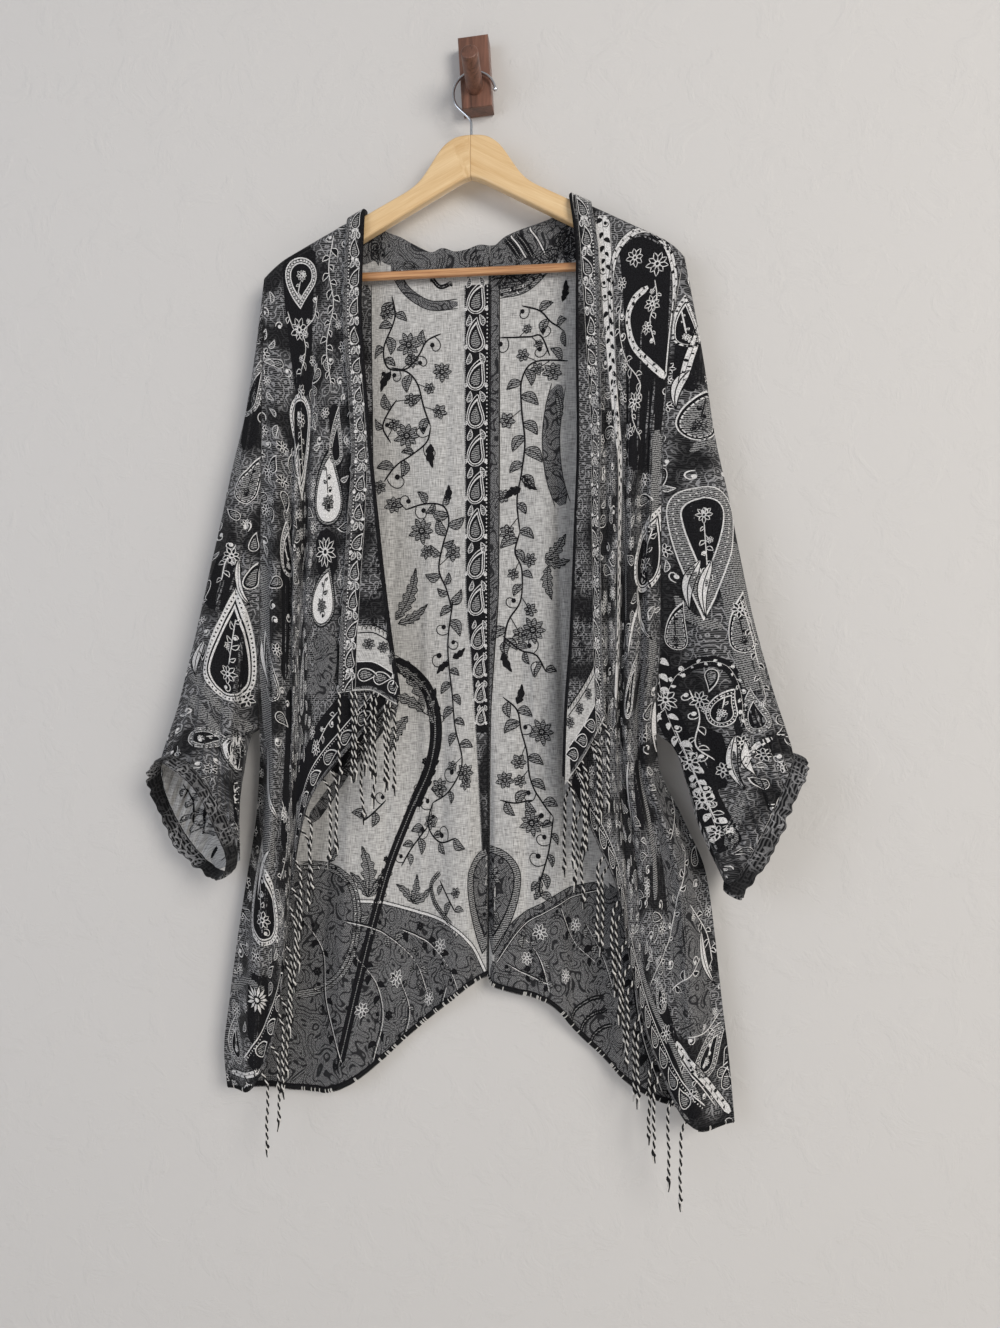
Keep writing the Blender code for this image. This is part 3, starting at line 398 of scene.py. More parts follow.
# Back: two halves of double-faced jacquard, joined down the middle where the shawls' selvages meet. The cloth is a
# cotton and viscose weave, black outside and pale inside, and hangs over the hanger's arms in loose upright folds.
# The tables say where its edges lie and place each fold one by one.
Line = namedtuple("Line", "drop x")
Hem = namedtuple("Hem", "share x drop")
Neck = namedtuple("Neck", "share x drop")
Edge = namedtuple("Edge", "drop front back")
Depth = namedtuple("Depth", "drop forward")
Fold = namedtuple("Fold", "top hem width depth start end")
Lapel = namedtuple("Lapel", "drop width")
Ring = namedtuple("Ring", "part x y drop")
Side = namedtuple(
    "Side",
    "name toward neck tip side_line edge_line front_hem back_neck back_hem lapel lapel_end folds back_folds "
    "underarm sleeve_outer sleeve_inner sleeve_depth sleeve_folds cuff_centre cuff_long cuff_short strands "
    "lapel_strands",
)

EDGES = [
    Edge(200, -33.5, -13.5), Edge(300, -38, -13.5), Edge(450, -42, -14), Edge(600, -43, -15),
    Edge(690, -40, -15.5), Edge(745, -26, -19.5), Edge(800, -22.4, -20.3), Edge(1105, -25.4, -23.3),
]
FRONT_DEPTH = [
    Depth(150, 0), Depth(250, 4), Depth(400, 10), Depth(550, 15), Depth(660, 18), Depth(800, 18),
    Depth(1100, 15),
]

LEFT = Side(
    name="left",
    toward=-1,
    neck=-118.3,
    tip=-226.0,
    side_line=[
        Line(200, -226), Line(380, -226.6), Line(520, -227.3), Line(690, -229.6), Line(760, -236),
        Line(800, -240), Line(850, -248), Line(919, -259), Line(995, -269), Line(1050, -275),
        Line(1092, -271),
    ],
    edge_line=[
        Line(149, -118.3), Line(244, -120.5), Line(353, -113), Line(438, -104.4), Line(522, -95),
        Line(595, -85.6), Line(657, -76),
    ],
    front_hem=[
        Hem(0, -271, 1090), Hem(0.1, -246, 1086), Hem(0.2, -223, 1067), Hem(0.3, -207, 1013),
        Hem(0.42, -201.5, 941), Hem(0.55, -194, 861), Hem(0.7, -175, 779), Hem(0.85, -132, 722),
        Hem(1, -76, 662),
    ],
    back_neck=[
        Neck(0, 15.2, 184), Neck(0.05, 4.8, 182.5), Neck(0.11, -10, 187), Neck(0.17, -22, 188.5),
        Neck(0.23, -36, 184), Neck(0.28, -47, 188), Neck(0.35, -63, 181), Neck(0.43, -82, 170),
        Neck(0.5, -101, 161), Neck(0.53, -108, 146), Neck(0.56, -118.3, 150),
    ],
    back_hem=[
        Hem(0, 12.2, 963), Hem(0.07, -6, 972), Hem(0.15, -27, 989), Hem(0.31, -71, 1028),
        Hem(0.46, -115, 1068), Hem(0.56, -142, 1086), Hem(0.66, -170, 1096), Hem(0.76, -197, 1096),
        Hem(0.88, -236, 1091), Hem(1, -271, 1090),
    ],
    lapel=[Lapel(149, 16), Lapel(385, 17), Lapel(480, 29), Lapel(563, 44), Lapel(670, 64)],
    lapel_end=[Hem(0, 0, 672), Hem(0.5, 0, 657), Hem(1, 0, 660)],
    folds=[
        Fold(0.15, 0.13, 0.10, 11, 0.05, 2), Fold(0.30, 0.28, 0.06, -7, 0.10, 0.55),
        Fold(0.41, 0.40, 0.07, 5, 0.10, 0.45), Fold(0.54, 0.55, 0.07, -6, 0.20, 0.45),
        Fold(0.67, 0.70, 0.08, 4, 0.15, 0.60), Fold(0.40, 0.46, 0.22, -12, 0.62, 2),
        Fold(0.05, 0.04, 0.022, 3.0, 0.02, 0.9), Fold(0.225, 0.215, 0.018, -4.0, 0.06, 0.95),
        Fold(0.355, 0.345, 0.016, -3.2, 0.04, 0.6), Fold(0.47, 0.47, 0.020, 2.4, 0.02, 0.5),
        Fold(0.60, 0.61, 0.018, -2.2, 0.05, 0.5), Fold(0.76, 0.80, 0.030, 2.0, 0.1, 0.8),
        Fold(0.10, 0.16, 0.020, -2.6, 0.55, 2), Fold(0.30, 0.36, 0.022, 2.2, 0.6, 2),
    ],
    back_folds=[
        Fold(0.04, 0.00, 0.06, -5, 0.55, 2), Fold(0.12, 0.12, 0.07, 7, 0.45, 2),
        Fold(0.34, 0.32, 0.10, -4, 0.15, 2), Fold(0.50, 0.52, 0.12, 6, 0.25, 2),
        Fold(0.74, 0.74, 0.10, -5, 0.30, 2),
        Fold(0.20, 0.19, 0.020, -1.6, 0.02, 0.7), Fold(0.27, 0.28, 0.016, 1.5, 0.2, 2),
        Fold(0.42, 0.43, 0.018, -1.8, 0.1, 2), Fold(0.60, 0.58, 0.022, 1.8, 0.05, 2),
        Fold(0.085, 0.07, 0.018, 2.2, 0.5, 2), Fold(0.66, 0.67, 0.016, -1.6, 0.3, 2),
    ],
    underarm=706.0,
    sleeve_outer=[
        Ring(0, -226, -23.5, 204), Ring(0.14, -234, -25, 270), Ring(0.31, -251, -28, 366),
        Ring(0.45, -268, -31, 442), Ring(0.63, -288.5, -35, 539), Ring(0.81, -309, -40, 636),
        Ring(0.93, -324, -44, 700), Ring(1, -331, -46, 730),
    ],
    sleeve_inner=[
        Ring(0, -229, -29, 712), Ring(0.12, -243, -34, 724), Ring(0.35, -247, -40, 758),
        Ring(0.7, -250, -45, 808), Ring(1, -257, -46, 850),
    ],
    sleeve_depth=[Ring(0, 0, -14, 0), Ring(0.3, 4, -19, 0), Ring(0.7, 14, -25, -6), Ring(1, 34, -28, -17)],
    sleeve_folds=[
        Fold(0.12, 0.16, 0.030, 2.6, 0.02, 0.8), Fold(0.22, 0.27, 0.028, -3.0, 0.05, 0.9),
        Fold(0.33, 0.36, 0.030, 3.2, 0.10, 2), Fold(0.41, 0.44, 0.024, -2.6, 0.02, 0.8),
        Fold(0.60, 0.58, 0.030, 2.6, 0.05, 0.9), Fold(0.72, 0.70, 0.030, -2.4, 0.1, 2),
        Fold(0.85, 0.83, 0.028, 2.4, 0.05, 0.8),
    ],
    cuff_centre=(-294.0, -46.0, 790.0),
    cuff_long=(37.0, 0.0, 60.0),
    cuff_short=(34.0, -28.0, -17.0),
    strands=16,
    lapel_strands=8,
)

RIGHT = Side(
    name="right",
    toward=1,
    neck=103.0,
    tip=219.5,
    side_line=[
        Line(200, 219.5), Line(310, 202.5), Line(443, 195.2), Line(606, 193), Line(680, 189),
        Line(730, 192), Line(790, 218), Line(842, 240), Line(882, 246.6), Line(974, 256.7),
        Line(1035, 264), Line(1101, 269.7),
    ],
    edge_line=[
        Line(143, 103), Line(175, 107.8), Line(210, 110.8), Line(287, 110.8), Line(401, 112),
        Line(483, 109.4), Line(606, 104.6), Line(678, 99.5), Line(742, 97.5),
    ],
    front_hem=[
        Hem(0, 269.7, 1098), Hem(0.1, 245, 1100), Hem(0.2, 222.4, 1094), Hem(0.28, 208, 1073),
        Hem(0.4, 185, 1019), Hem(0.5, 173, 975), Hem(0.6, 162, 921), Hem(0.72, 152.8, 865),
        Hem(0.86, 128.7, 808), Hem(1, 97.5, 744),
    ],
    back_neck=[
        Neck(0, 15.8, 184), Neck(0.04, 20, 184), Neck(0.11, 31.6, 175.5), Neck(0.19, 45.5, 169.7),
        Neck(0.3, 65.8, 163.5), Neck(0.4, 83.8, 157), Neck(0.45, 93, 142), Neck(0.5, 103, 143),
    ],
    back_hem=[
        Hem(0, 12.8, 963), Hem(0.06, 18, 971), Hem(0.15, 48, 978.6), Hem(0.25, 74.4, 985),
        Hem(0.31, 90.3, 995), Hem(0.37, 106, 1015), Hem(0.46, 132, 1040), Hem(0.6, 168.6, 1072),
        Hem(0.8, 220, 1092), Hem(1, 269.7, 1098),
    ],
    lapel=[Lapel(143, 20), Lapel(464, 23), Lapel(600, 29), Lapel(681, 36), Lapel(742, 40)],
    lapel_end=[Hem(0, 0, 752), Hem(0.5, 0, 722), Hem(1, 0, 684)],
    folds=[
        Fold(0.10, 0.14, 0.09, 6, 0.08, 2), Fold(0.27, 0.26, 0.07, -7, 0.12, 0.75),
        Fold(0.42, 0.38, 0.08, 6, 0.10, 0.70), Fold(0.58, 0.52, 0.06, -5, 0.15, 0.60),
        Fold(0.72, 0.70, 0.08, 3, 0.20, 0.60), Fold(0.42, 0.45, 0.20, -9, 0.66, 2),
        Fold(0.04, 0.05, 0.020, 2.6, 0.02, 2), Fold(0.19, 0.20, 0.020, -3.6, 0.05, 2),
        Fold(0.34, 0.32, 0.016, 2.6, 0.03, 0.8), Fold(0.50, 0.46, 0.018, -3.4, 0.06, 0.75),
        Fold(0.65, 0.62, 0.020, 2.4, 0.05, 0.7), Fold(0.80, 0.78, 0.022, -2.0, 0.1, 0.7),
        Fold(0.28, 0.27, 0.022, 3.0, 0.6, 2), Fold(0.55, 0.60, 0.024, -2.6, 0.6, 2),
    ],
    back_folds=[
        Fold(0.04, 0.00, 0.06, -5, 0.55, 2), Fold(0.11, 0.12, 0.06, 5, 0.50, 2),
        Fold(0.30, 0.30, 0.10, 6, 0.20, 2), Fold(0.46, 0.44, 0.08, -4, 0.25, 2),
        Fold(0.64, 0.66, 0.11, 5, 0.30, 2),
        Fold(0.17, 0.18, 0.018, -1.6, 0.05, 2), Fold(0.23, 0.24, 0.016, 1.8, 0.3, 2),
        Fold(0.38, 0.37, 0.020, -1.9, 0.1, 2), Fold(0.53, 0.54, 0.018, 1.6, 0.1, 2),
        Fold(0.08, 0.07, 0.018, 2.0, 0.55, 2), Fold(0.73, 0.74, 0.020, -1.8, 0.2, 2),
    ],
    underarm=712.0,
    sleeve_outer=[
        Ring(0, 219.5, -23.5, 204), Ring(0.17, 234, -26, 289), Ring(0.35, 246, -30, 381),
        Ring(0.51, 262, -34, 463), Ring(0.69, 279, -40, 555), Ring(0.87, 299.5, -46, 646),
        Ring(0.95, 312, -49, 690), Ring(1, 320, -50, 718),
    ],
    sleeve_inner=[
        Ring(0, 190, -29, 718), Ring(0.12, 204, -35, 729), Ring(0.35, 215, -43, 756),
        Ring(0.7, 231, -49, 804), Ring(1, 256, -50, 856),
    ],
    sleeve_depth=[Ring(0, 0, -14, 0), Ring(0.3, 0, -19, 0), Ring(0.7, 3, -25, -2), Ring(1, 6, -28, -4)],
    sleeve_folds=[
        Fold(0.10, 0.13, 0.028, 2.4, 0.02, 0.8), Fold(0.19, 0.22, 0.026, -3.0, 0.05, 2),
        Fold(0.29, 0.31, 0.028, 3.0, 0.08, 0.9), Fold(0.38, 0.40, 0.024, -3.0, 0.02, 0.9),
        Fold(0.62, 0.60, 0.030, 2.6, 0.05, 0.9), Fold(0.75, 0.73, 0.028, -2.4, 0.1, 2),
        Fold(0.87, 0.86, 0.028, 2.2, 0.05, 0.8),
    ],
    cuff_centre=(288.0, -50.0, 787.0),
    cuff_long=(-32.0, 0.0, 69.0),
    cuff_short=(6.0, -28.0, -4.0),
    strands=16,
    lapel_strands=6,
)


def through(rows, key, value, at):
    """A smooth curve through one column of a table against another, with no overshoot."""
    knots = np.array([getattr(row, key) for row in rows], float)
    levels = np.array([getattr(row, value) for row in rows], float)
    steps = np.diff(levels) / np.diff(knots)
    slopes = np.concatenate([steps[:1], np.zeros(len(steps) - 1), steps[-1:]])
    turning = steps[:-1] * steps[1:] <= 0
    total = np.where(turning, 1.0, steps[:-1] + steps[1:])
    slopes[1:-1] = np.where(turning, 0.0, 2 * steps[:-1] * steps[1:] / total)
    at = np.clip(np.asarray(at, float), knots[0], knots[-1])
    i = np.clip(np.searchsorted(knots, at, side="right") - 1, 0, len(steps) - 1)
    gap = knots[i + 1] - knots[i]
    s = (at - knots[i]) / gap
    start = (1 + 2 * s) * (1 - s) ** 2 * levels[i] + s * (1 - s) ** 2 * gap * slopes[i]
    return start + s * s * (3 - 2 * s) * levels[i + 1] + s * s * (s - 1) * gap * slopes[i + 1]


def ease(s):
    """A soft step from 0 to 1."""
    s = np.clip(s, 0, 1)
    return s * s * (3 - 2 * s)


CLOTH = 0.9  # thickness of the cloth
SEAM = 0.3
WRAP = 10.0  # radius of the cloth over the hanger's arm
LIFT = 3.0
SLUMP = 7.0  # how far the cloth sinks past the end of the arm
WRAP_ROWS = 12
BODY_ROWS = 148
BACK_COLUMNS = 96


def rippled(x, drop, seed):
    """The cloth's small uneven waviness, out of its plane."""
    wave = np.sin(x / 9.5 + 1.3 * np.sin(drop / 71 + seed) + seed) * np.sin(drop / 118 + 2.1 * seed)
    wave = wave + 0.7 * np.sin(x / 5.7 + drop / 160 + 2.7 * seed) * np.sin(drop / 64 + seed)
    return 0.45 * wave


def folded(folds, share, down):
    """How far the folds of a panel push it forward."""
    push = np.zeros(np.broadcast(share, down).shape)
    for fold in folds:
        middle = fold.top + (fold.hem - fold.top) * down
        bell = np.exp(-(((share - middle) / fold.width) ** 2))
        shown = ease((down - fold.start) / 0.3) * (1 - ease((down - fold.end) / 0.25))
        push = push + fold.depth * bell * shown
    return push


def wrap_angles():
    """The angle of each row over the arm, and the share of the drop of each row below it."""
    right = math.pi / 2
    over = np.concatenate([np.linspace(0, right, WRAP_ROWS), np.full(BODY_ROWS, right)])
    down = np.concatenate([np.zeros(WRAP_ROWS), np.linspace(0, 1, BODY_ROWS + 1)[1:]])
    return over[:, None], down[:, None]


def slumped(x, tip):
    """How far the cloth sinks towards the shoulder's tip."""
    return SLUMP * np.maximum(0, 1 - np.abs(x - tip) / 26) ** 2


def back_panel(side):
    """Half of the back, from the middle seam to the armhole and side edge."""
    over, down = wrap_angles()
    free = side.back_neck[-1].share
    share = np.linspace(0, 1, BACK_COLUMNS)[None, :]
    part = np.clip((share - free) / (1 - free), 0, 1)
    ridge_x = side.neck + (side.tip - side.neck) * part
    over_arm = share >= free
    top_x = np.where(over_arm, ridge_x, through(side.back_neck, "share", "x", share))
    ridge = arm_drop(ridge_x) - LIFT + slumped(ridge_x, side.tip)
    top = np.where(over_arm, ridge, through(side.back_neck, "share", "drop", share))
    hem_x = through(side.back_hem, "share", "x", share)
    hem = through(side.back_hem, "share", "drop", share)
    drop = top + WRAP * (1 - np.cos(over)) + (hem - top - WRAP) * down
    x = top_x + (hem_x - top_x) * (drop - top) / (hem - top)
    straight = np.interp(drop, [top[0, -1], hem[0, -1]], [top_x[0, -1], hem_x[0, -1]])
    x = x + (through(side.side_line, "drop", "x", np.minimum(drop, hem[0, -1])) - straight) * share ** 3
    held = ease((share - free + 0.02) / 0.02)
    flat = HANGER_Y + WRAP - folded(side.back_folds, share, down)
    flat = flat + rippled(x, drop, 1.0 + side.toward) * ease(down / 0.1) * ease(share / 0.05)
    outer = through(EDGES, "drop", "back", drop)
    y = flat + (outer - flat) * ease((share - 0.8) / 0.2)
    y = np.where(over < 1.57, HANGER_Y + WRAP * (held * np.sin(over) + 1 - held), y)
    y[0] += SEAM / 2
    return np.stack(np.broadcast_arrays(x, y, -drop), axis=-1)


def normals_of(grid, outward, closed=False):
    """Unit normals of a grid of points, on the side that a direction or a middle line gives."""
    along = np.gradient(grid, axis=0)
    if closed:
        across = np.roll(grid, -1, axis=1) - np.roll(grid, 1, axis=1)
    else:
        across = np.gradient(grid, axis=1)
    n = np.cross(across, along)
    n = n / np.maximum(np.linalg.norm(n, axis=-1, keepdims=True), 1e-9)
    return n * np.sign(np.sum(n * outward))


def row_runs(grid):
    """How far along its row each point of a grid lies."""
    steps = np.linalg.norm(np.diff(grid, axis=1), axis=2)
    return np.concatenate([np.zeros((len(grid), 1)), np.cumsum(steps, axis=1)], axis=1)


def flat_places(grid, toward):
    """Where each point lies in the flat cloth: millimetres across, true along each row, and the drop."""
    run = row_runs(grid)
    middle = grid.shape[1] // 2
    across = grid[:, middle:middle + 1, 0] - toward * (run - run[:, middle:middle + 1])
    return np.stack([across, -grid[..., 2]], axis=-1)


def shell(name, grid, normals, flat, finishes, closed=False):
    """A sheet of cloth round a grid of middle points: an outer face, an inner face and cut edges."""
    rows, columns = grid.shape[:2]
    far = rows * columns
    half = normals * CLOTH / 2
    points = np.concatenate([(grid + half).reshape(-1, 3), (grid - half).reshape(-1, 3)])
    i = np.arange(rows - 1)[:, None]
    j = np.arange(columns if closed else columns - 1)[None, :]
    k = (j + 1) % columns
    corners = [i * columns + j, i * columns + k, (i + 1) * columns + k, (i + 1) * columns + j]
    quads = np.stack(np.broadcast_arrays(*corners), axis=-1).reshape(-1, 4)
    spots = np.stack([flat[i, j], flat[i, j + 1], flat[i + 1, j + 1], flat[i + 1, j]], axis=2).reshape(-1, 4, 2)
    faces, places = [quads, quads[:, ::-1] + far], [spots, spots[:, ::-1]]
    slots = [np.zeros(len(quads)), np.ones(len(quads))]
    ends = [(row * columns + j[0], row * columns + k[0]) for row in (0, rows - 1)]
    if not closed:
        ends += [(i[:, 0] * columns + column, (i[:, 0] + 1) * columns + column) for column in (0, columns - 1)]
    uv = np.broadcast_to(flat[:, :columns], (rows, columns, 2)).reshape(-1, 2)
    for a, b in ends:
        faces.append(np.stack([a, b, b + far, a + far], axis=1))
        places.append(np.stack([uv[a], uv[b], uv[b], uv[a]], axis=1))
        slots.append(np.full(len(a), 2))
    faces, places = np.concatenate(faces), np.concatenate(places)
    return make(name, points, faces.tolist(), finishes, np.concatenate(slots), places * MM, sharp=60)


# Dyed cotton and viscose, outside face: near-black ground with fine pale scrolls and hatching, as the loom's
# floats cross it. The threads are 0.5 mm apart; they are drawn at 1.1 mm so that the weave shows.
black_face, tree, shader = start_material("jacquard_black_face", 0.92, 0.1)
cloth_map = add(tree, "UVMap", uv_map="flat_cloth").outputs[0]
bend = add(tree, "TexNoise", {"Vector": cloth_map, "Scale": 70.0, "Detail": 2.0}, noise_dimensions="2D")
pull = add(tree, "VectorMath", {0: bend.outputs["Color"], 1: (0.012, 0.012, 0)}, operation="MULTIPLY")
bent = add(tree, "VectorMath", {0: cloth_map, 1: pull.outputs[0]}, operation="ADD")
cells = add(tree, "TexVoronoi", {"Vector": bent.outputs[0], "Scale": 100.0}, voronoi_dimensions="2D")
rounds = add(tree, "Math", {0: cells.outputs["Distance"], 1: 15.0}, operation="MULTIPLY")
scroll = add(tree, "Math", {0: rounds.outputs[0]}, operation="SINE")
scroll_line = add(tree, "MapRange", {"Value": scroll.outputs[0], 1: 0.45, 2: 0.8})
open_ground = add(tree, "TexNoise", {"Vector": cloth_map, "Scale": 17.0, "Detail": 1.0}, noise_dimensions="2D")
dense = add(tree, "MapRange", {"Value": open_ground.outputs["Fac"], 1: 0.42, 2: 0.56, 3: 0.08, 4: 0.95})
drawn = add(tree, "Math", {0: scroll_line.outputs[0], 1: dense.outputs[0]}, operation="MULTIPLY")
axes = add(tree, "SeparateXYZ", {0: cloth_map})
weft = add(tree, "Math", {0: axes.outputs["Y"], 1: 2 * math.pi / 0.0022}, operation="MULTIPLY")
weft_wave = add(tree, "Math", {0: weft.outputs[0]}, operation="SINE")
warp = add(tree, "Math", {0: axes.outputs["X"], 1: 2 * math.pi / 0.0011}, operation="MULTIPLY")
warp_wave = add(tree, "Math", {0: warp.outputs[0]}, operation="SINE")
hatch = add(tree, "MapRange", {"Value": weft_wave.outputs[0], 1: 0.1, 2: 0.5, 3: 0.0, 4: 0.5})
specks = add(tree, "TexNoise", {"Vector": cloth_map, "Scale": 900.0, "Detail": 1.0}, noise_dimensions="2D")
speck = add(tree, "MapRange", {"Value": specks.outputs["Fac"], 1: 0.35, 2: 0.7, 3: 0.68, 4: 1.0})
hatched = add(tree, "Math", {0: hatch.outputs[0], 1: dense.outputs[0]}, operation="MULTIPLY")
pale_floats = add(tree, "Math", {0: drawn.outputs[0], 1: hatched.outputs[0]}, operation="MAXIMUM")
pale_share = add(tree, "Math", {0: pale_floats.outputs[0], 1: speck.outputs[0]}, operation="MULTIPLY")
tones = {0: pale_share.outputs[0], 6: colour("#111113"), 7: colour("#959597")}
face_tone = add(tree, "Mix", tones, data_type="RGBA")
tree.links.new(face_tone.outputs[2], shader.inputs["Base Color"])
threads = add(tree, "Math", {0: weft_wave.outputs[0], 1: warp_wave.outputs[0]}, operation="MULTIPLY")
bump = add(tree, "Bump", {"Height": threads.outputs[0], "Strength": 0.25, "Distance": 0.0003})
tree.links.new(bump.outputs[0], shader.inputs["Normal"])
shader.inputs["Sheen Weight"].default_value = 0.06

# The same cloth, inside face: undyed pale ground with slubs, thick and thin places in the yarn, both ways.
pale_face, tree, shader = start_material("jacquard_pale_face", 0.95, 0.1)
cloth_map = add(tree, "UVMap", uv_map="flat_cloth").outputs[0]
upright = add(tree, "Mapping", {"Vector": cloth_map, "Scale": (1, 0.07, 1)})
level = add(tree, "Mapping", {"Vector": cloth_map, "Scale": (0.09, 1, 1)})
warp_slub = add(tree, "TexNoise", {"Vector": upright.outputs[0], "Scale": 1300.0, "Detail": 2.0}, noise_dimensions="2D")
weft_slub = add(tree, "TexNoise", {"Vector": level.outputs[0], "Scale": 1150.0, "Detail": 2.0}, noise_dimensions="2D")
slub = add(tree, "Math", {0: warp_slub.outputs["Fac"], 1: weft_slub.outputs["Fac"]}, operation="ADD")
ramp = add(tree, "ValToRGB", {"Fac": add(tree, "Math", {0: slub.outputs[0], 1: 0.5}, operation="MULTIPLY").outputs[0]})
ramp.color_ramp.elements[0].position, ramp.color_ramp.elements[0].color = 0.3, colour("#6f6e6d")
ramp.color_ramp.elements[1].position, ramp.color_ramp.elements[1].color = 0.64, colour("#c1c0be")
tree.links.new(ramp.outputs[0], shader.inputs["Base Color"])
bump = add(tree, "Bump", {"Height": slub.outputs[0], "Strength": 0.3, "Distance": 0.0004})
tree.links.new(bump.outputs[0], shader.inputs["Normal"])
FACES = [black_face, pale_face, black_face]

# Woven figures of the back: where the loom brings the other yarn to the face. Each face's figures are one thin layer
# laid on the cloth, drawn after the photo. Their places are photo pixels read off, their sizes
# millimetres in the flat cloth. The outside shows the same figures with the yarns changed over, as in a double cloth.
Yarn = namedtuple("Yarn", "name low high pitch slant scrolled")
YARNS = [
    Yarn("white_float", "#9e9d9d", "#dcdbda", 1.1, 0, False),
    Yarn("black_float", "#0a0a0b", "#1e1e21", 1.1, 0, False),
    Yarn("weft_hatch", "#19191b", "#8c8c8c", 2.2, 0.2, False),
    Yarn("grey_twill", "#262628", "#7a7a7b", 1.8, 0.8, True),
]
WHITE, BLACK, HATCH, TWILL, SCROLL = range(5)
CHANGED = {WHITE: BLACK, BLACK: WHITE, HATCH: HATCH, TWILL: HATCH, SCROLL: HATCH}
figure_yarns = []
for row in YARNS:
    yarn, tree, shader = start_material(row.name, 0.9, 0.1)
    cloth_map = add(tree, "UVMap", uv_map="flat_cloth").outputs[0]
    axes = add(tree, "SeparateXYZ", {0: cloth_map})
    lean = add(tree, "Math", {0: axes.outputs["X"], 1: row.slant}, operation="MULTIPLY")
    across = add(tree, "Math", {0: axes.outputs["Y"], 1: lean.outputs[0]}, operation="ADD")
    count = add(tree, "Math", {0: across.outputs[0], 1: 2 * math.pi / (row.pitch * MM)}, operation="MULTIPLY")
    wave = add(tree, "Math", {0: count.outputs[0]}, operation="SINE")
    breaks = add(tree, "TexNoise", {"Vector": cloth_map, "Scale": 700.0, "Detail": 2.0}, noise_dimensions="2D")
    uneven = add(tree, "MapRange", {"Value": breaks.outputs["Fac"], 1: 0.3, 2: 0.7, 3: -1.1, 4: 1.1})
    float_up = add(tree, "Math", {0: wave.outputs[0], 1: uneven.outputs[0]}, operation="ADD")
    share = add(tree, "MapRange", {"Value": float_up.outputs[0], 1: -0.6, 2: 0.6})
    if row.scrolled:
        swirl = {"Vector": cloth_map, "Scale": 42.0, "Detail": 0.0, "Distortion": 1.2}
        swirls = add(tree, "TexNoise", swirl, noise_dimensions="2D")
        turns = add(tree, "Math", {0: swirls.outputs["Fac"], 1: 30.0}, operation="MULTIPLY")
        lines = add(tree, "Math", {0: turns.outputs[0]}, operation="SINE")
        dark_line = add(tree, "MapRange", {"Value": lines.outputs[0], 1: 0.45, 2: 0.8, 3: 1.0, 4: 0.0})
        share = add(tree, "Math", {0: share.outputs[0], 1: dark_line.outputs[0]}, operation="MULTIPLY")
    tone = add(tree, "Mix", {0: share.outputs[0], 6: colour(row.low), 7: colour(row.high)}, data_type="RGBA")
    tree.links.new(tone.outputs[2], shader.inputs["Base Color"])
    figure_yarns.append(yarn)
figure_yarns.append(black_face)

Ground = namedtuple("Ground", "points normals flat seen")
Strip = namedtuple("Strip", "spots yarn level")
Drop = namedtuple("Drop", "place radius length lean bend")
STITCH = 2.9  # the longest step of a figure, so that it follows the folds
DRAWN = 0.9  # the width of a drawn line
PIXEL = 1.05  # about the size of a photo pixel on the cloth
FIGURE_LIFT = 0.14
LEVEL_LIFT = 0.1


def ground_of(points, normals, flat):
    """A face of the cloth, with each point's place in the photo."""
    turn = camera.rotation_euler[2]
    away = points * MM - np.array(camera.location)
    depth = away @ np.array([-math.sin(turn), math.cos(turn), 0])
    right = away @ np.array([math.cos(turn), math.sin(turn), 0])
    seen = [PHOTO_WIDTH / 2 + FOCAL_PIXELS * right / depth, PHOTO_HEIGHT / 2 - FOCAL_PIXELS * away[..., 2] / depth]
    return Ground(points, normals, flat, np.stack(seen, axis=-1))


def flat_at(ground, places):
    """Where the cloth that stands at some places of the photo lies when flat."""
    places = np.asarray(places, float).reshape(-1, 2)
    seen, flat = ground.seen.reshape(-1, 2), ground.flat.reshape(-1, 2)
    near = [int(np.argmin(np.sum((seen - place) ** 2, axis=1))) for place in places]
    return flat[near] + (places - seen[near]) * PIXEL


